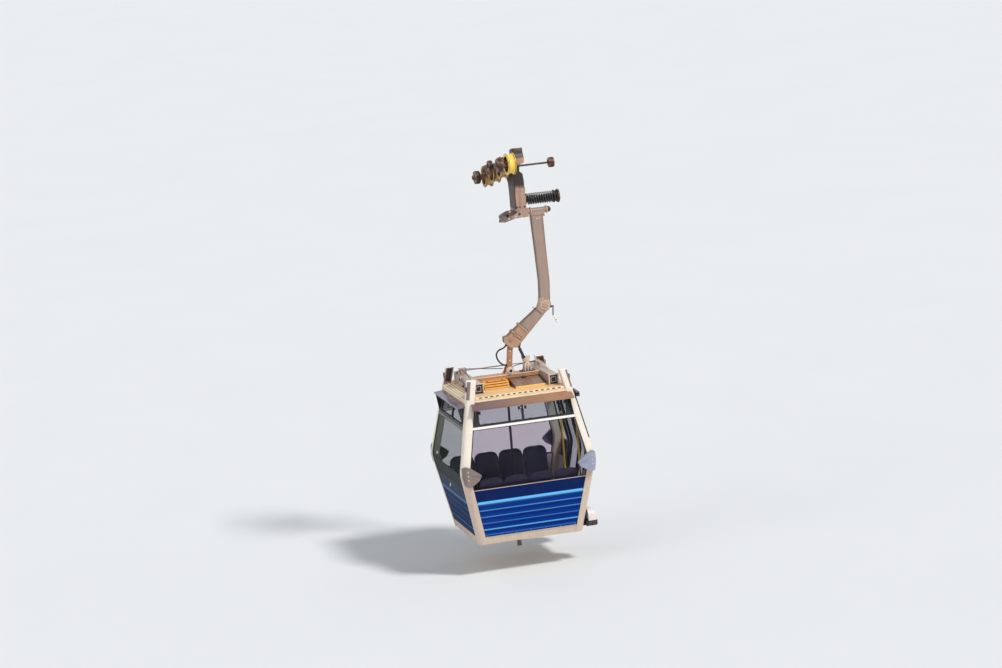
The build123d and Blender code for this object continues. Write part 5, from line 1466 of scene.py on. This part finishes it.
def beam_and_column_fittings():
    """Bolts and eye of the beam, the column's ribs, webs and welds, and the ribbed box with its lead."""
    bolts, ribs, webs, welds = Parts(), Parts(), Parts(), []
    bolts.add(bolt(0.013, 0.012),
              *[on_line(BEAM_X, y, 0.340) for y in (-0.36, -0.30, -0.04, 0.04, 0.30, 0.36, 0.58)])
    bolts.add(bolt(0.012, 0.010), *[on_line(BEAM_X1 - 0.030, y, BOGIE_Z, *AXLE) for y in row(-0.52, 0.52, 7)])
    bolts.add(bolt(0.012, 0.011), *[stand((COLUMN_X1, y, z), (1, 0, 0)) for y in (-0.115, 0.115)
                                    for z in (-0.175, -0.235, -0.400)])
    for y, side in ((-COLUMN_HALF, -1), (COLUMN_HALF, 1)):
        ribs.add(slab(0.016, 0.010, 0.300, 0.003), stand((0.300, y + side * 0.003, -0.290), (0, 0, 1)))
        bolts.add(bolt(0.011, 0.010), *[stand((x, y, -0.425), (0, side, 0)) for x in (0.205, 0.255, 0.33)])
        welds.append([Vector((BEAM_X1, y, z)) for z in (-0.125, -0.450)])
    ribs.add(slab(0.012, 0.34, 0.014, 0.003),
             *[stand((COLUMN_X1 + 0.002, 0, z), (0, 0, 1)) for z in (-0.128, -0.448)])
    web = [(BEAM_X1 - 0.04, -0.20), (COLUMN_X1, -0.20), (COLUMN_X1, -0.02), (COLUMN_X1 - 0.012, 0.10),
           (BEAM_X1 - 0.002, 0.17), (BEAM_X1 - 0.04, 0.17)]
    upright = Matrix.Rotation(pi / 2, 4, "X")
    webs.add(plate(web, 0.012), *[Matrix.Translation((0, y, 0)) @ upright for y in (-0.118, 0.130)])
    ribs.add(ring(0.016, 0.030, -0.007, 0.007, 0.003, 24), on_line(BEAM_X, 0.47, 0.362, *AXLE))
    piece("carriage_bolts", "carriage", "dark_steel", bolts)
    piece("column_ribs", "carriage", "rib_brown", ribs)
    piece("column_webs", "carriage", "column", webs)
    wire("column_welds", "carriage", "column", welds, 0.007)
    start, end = on_line(BEAM_X, -0.43, 0.372).translation, on_line(0.240, -0.12, 0.342).translation
    lift = Vector((0, 0, 0.05))
    run = [start, start.lerp(end, 0.3) + lift, start.lerp(end, 0.7) + lift * 0.6, end]
    wire("fin_box_lead", "carriage", "lead", [run], 0.008, smooth=True)
    gland = turned([(0.010, 0), (0.016, 0), (0.016, 0.014), (0.009, 0.022)], 16)
    fins = Parts().add(gland, on_line(BEAM_X, -0.440, 0.372, (0, 1, 0)))
    fins.add(bolt(0.007, 0.006),
             *[on_line(x, -0.620, z, (0, -1, 0)) for x in (0.125, 0.243) for z in (0.352, 0.388)])
    fins.add(slab(0.004, 0.186, 0.098, 0.001), *[on_line(x, -0.530, 0.384) for x in row(0.104, 0.264, 9)])
    fins.add(slab(0.148, 0.004, 0.096, 0.001), *[on_line(BEAM_X, y, 0.383) for y in row(-0.626, -0.434, 7)])
    cap = Parts().add(slab(0.050, 0.120, 0.010, 0.003), on_line(0.128, -0.540, 0.436))
    piece("fin_box_cap", "carriage", "pale", cap)
    piece("fin_box_fittings", "carriage", "dark_steel", fins)


def helix(x0, x1, radius, z, turns, hand, steps=20):
    """Points of a coil round a line along X."""
    count = turns * steps
    return [Vector((x0 + (x1 - x0) * i / count, hand * radius * cos(2 * pi * i / steps),
                    z + radius * sin(2 * pi * i / steps))) for i in range(count + 1)]


def spring():
    """Grip spring: two nested coils of opposite hand over a guide tube, between two discs."""
    place = stand((0, 0, SPRING_Z), *AXLE)
    tube = [(0, SPRING_X0), (0.044, SPRING_X0), (0.044, SPRING_X1), (0, SPRING_X1)]
    core = Parts().add(turned(tube, 32), place)
    for x, radius, thick in ((COLUMN_X1, SPRING_R + 0.006, 0.030), (COLUMN_X1 + 0.030, SPRING_R - 0.020, 0.013),
                             (SPRING_X1 - 0.014, SPRING_R - 0.004, 0.014)):
        core.add(turned([(0, x), (radius - 0.004, x), (radius, x + 0.004), (radius, x + thick - 0.004),
                         (radius - 0.004, x + thick), (0, x + thick)], 40), place)
    disc_r, x = SPRING_R + 0.012, SPRING_X1
    core.add(turned([(0, x), (disc_r - 0.030, x), (disc_r - 0.024, x + 0.006), (disc_r - 0.008, x + 0.006),
                     (disc_r, x + 0.014), (disc_r, x + 0.032), (disc_r - 0.008, x + 0.040), (0.052, x + 0.040),
                     (0.046, x + 0.032), (0, x + 0.032)], 48), place)
    core.add(ring(0.030, disc_r - 0.004, 0.0, 0.014, 0.004, 48), place @ Matrix.Translation((0, 0, x - 0.052)))
    piece("spring_core", "carriage", "dark_steel", core, ("spring_pack",))
    outer = helix(SPRING_X0 + 0.012, SPRING_X1 - 0.066, SPRING_R - 0.012, SPRING_Z, 11, 1)
    inner = helix(SPRING_X0 + 0.012, SPRING_X1 - 0.064, SPRING_R - 0.038, SPRING_Z, 12, -1)
    wire("spring_coil_outer", "carriage", "spring", [outer], 0.0115)
    wire("spring_coil_inner", "carriage", "spring", [inner], 0.0075)
    bolts = Parts().add(bolt(0.010, 0.009), *round_about(place, 6, 0.076, x + 0.038))
    bolts.add(bolt(0.028, 0.022), place @ Matrix.Translation((0, 0, x + 0.018)))
    piece("spring_bolts", "carriage", "bright", bolts)


def grip_fittings():
    """Pins, bolts and lips of the grip's jaws, and the shaft's end nut."""
    pins, bolts, face = Parts(), Parts(), 0.151
    for side in (-1, 1):
        pins.add(ring(0.006, 0.022, 0.0, 0.008, 0.002, 24),
                 *[on_line(x, side * face, -HAUL_DROP + up, (0, side, 0))
                   for x, up in ((0.120, 0.050), (0.200, 0.010))])
        bolts.add(bolt(0.011, 0.010), *[on_line(x, side * face, -HAUL_DROP + up, (0, side, 0))
                                        for x, up in ((0.020, -0.048), (0.130, -0.030), (0.045, 0.062))])
    bolts.add(bolt(0.012, 0.011),
              *[stand((x, y, SHAFT.z - 0.065), (0, 0, -1)) for x in (0.21, 0.32) for y in (-0.11, 0.11)])
    pins.add(ring(0.027, 0.044, 0.0, 0.034, 0.004, 24), stand((0.743, 0, SHAFT.z), *AXLE))
    pins.add(bolt(0.030, 0.016), stand((0.776, 0, SHAFT.z), *AXLE))
    lips = [[on_line(x, y, -HAUL_DROP + up).translation for y in (-0.150, 0.150)]
            for x, up in ((-0.062, 0.030), (-0.066, -0.034))]
    piece("grip_pins", "carriage", "dark_steel", pins)
    piece("grip_bolts", "carriage", "bright", bolts)
    wire("jaw_lips", "carriage", "jaw", lips, 0.008)


def lever_fittings():
    """Nuts on the lever's pin and the guide arm, and the arm's clamp at the beam."""
    nuts = Parts()
    nuts.add(ring(0.006, 0.026, 0.0, 0.012, 0.003, 6), on_line(-0.174, 0, LEVER_Z, *AXLE_BACK))
    nuts.add(ring(0.006, 0.022, 0.0, 0.012, 0.003, 6), stand((0.908, 0, ARM_ROD_Z), *AXLE))
    nuts.add(ring(0.016, 0.034, 0.0, 0.030, 0.004, 28), stand((BEAM_X1, 0, ARM_ROD_Z), (1, 0, 0)))
    nuts.add(bolt(0.009, 0.009), *[on_line(x, 0, 0.289) for x in (-0.055, 0.0, 0.075)])
    piece("lever_nuts", "carriage", "pin", nuts)


# Surroundings

def stage():
    """Pale floor below the hanging cabin, and soft studio light."""
    shape = bmesh.new()
    bmesh.ops.create_grid(shape, x_segments=1, y_segments=1, size=400,
                          matrix=Matrix.Translation((0, 0, FLOOR_Z)))
    mesh = bpy.data.meshes.new("floor")
    shape.to_mesh(mesh)
    shape.free()
    ground = Finish("floor_pale", (0.80, 0.81, 0.81, 1), 0.9)
    ground.set("Base Color", ground.mix(ground.noise(0.4), (0.78, 0.79, 0.79, 1), (0.81, 0.82, 0.82, 1)))
    mesh.materials.append(ground.material)
    floor = bpy.data.objects.new("floor", mesh)
    bpy.context.collection.objects.link(floor)

    world = bpy.data.worlds.new("studio")
    world.use_nodes = True
    nodes, link = world.node_tree.nodes, world.node_tree.links.new
    light, seen = nodes["Background"], nodes.new("ShaderNodeBackground")
    for sky, colour, strength in ((light, (0.92, 0.95, 1.0, 1), 0.46), (seen, (0.80, 0.83, 0.86, 1), 1.0)):
        sky.inputs["Color"].default_value, sky.inputs["Strength"].default_value = colour, strength
    path, blend = nodes.new("ShaderNodeLightPath"), nodes.new("ShaderNodeMixShader")
    ray = path.outputs["Is Camera Ray"]
    for kind in ("Is Glossy Ray", "Is Transmission Ray"):
        either = nodes.new("ShaderNodeMath")
        either.operation = "MAXIMUM"
        link(ray, either.inputs[0])
        link(path.outputs[kind], either.inputs[1])
        ray = either.outputs[0]
    for source, socket in zip((ray, light.outputs[0], seen.outputs[0]), blend.inputs):
        link(source, socket)
    link(blend.outputs[0], nodes["World Output"].inputs[0])
    bpy.context.scene.world = world
    for name, aim, power, soft in (("key", (-0.42, 0.62, -0.80), 2.35, 9),
                                   ("fill", (0.85, 0.35, -0.35), 0.5, 40)):
        lamp = bpy.data.objects.new(name, bpy.data.lights.new(name, "SUN"))
        lamp.data.energy, lamp.data.angle = power, radians(soft)
        lamp.rotation_euler = Vector(aim).to_track_quat("-Z", "Y").to_euler()
        bpy.context.collection.objects.link(lamp)


def build():
    """Dress the nodes and add every piece."""
    dress_nodes()
    for make in (window_seals, window_trims, wall_liners, panel_seams, sill_trims, vent_fittings,
                 visor_brackets, post_caps, post_fittings, corner_beads, wall_fittings, buffer_fittings,
                 rail_fittings, guide_fittings, seats, floor_mat, ceiling, handle_collars, underframe,
                 roof_slots, roof_ribs, roof_deck, tube_fittings, beam_fittings, solar_fittings, box_fittings,
                 drive_fittings, arm_edges, arm_fittings, link_fittings, damper_fittings, crank_fittings,
                 bogie_fittings, beam_and_column_fittings, spring, grip_fittings, lever_fittings, stage):
        make()
    for body, side in (("front_door", -1), ("rear_door", 1)):
        leaf_fittings(body, side)
    for number, y in enumerate(WHEEL_Y, 1):
        wheel_fittings(number, y)
    for name, y in (("front", WHEEL_Y[0]), ("rear", WHEEL_Y[-1])):
        roller_fittings(f"{name}_station_roller", on_line(STATION_X, y, AXLE_Z, *AXLE), 0.040, 0.105, 0.030)
    roller_fittings("lever_roller", on_line(LEVER_X, 0, LEVER_Z, *AXLE), 0.031, 0.085, 0.022, bolted=False)
    roller_fittings("guide_roller", stand((GUIDE_ROLLER_X, 0, ARM_ROD_Z), *AXLE), 0.040, 0.080, 0.016)


build()
bpy.context.scene.view_settings.view_transform = "Standard"
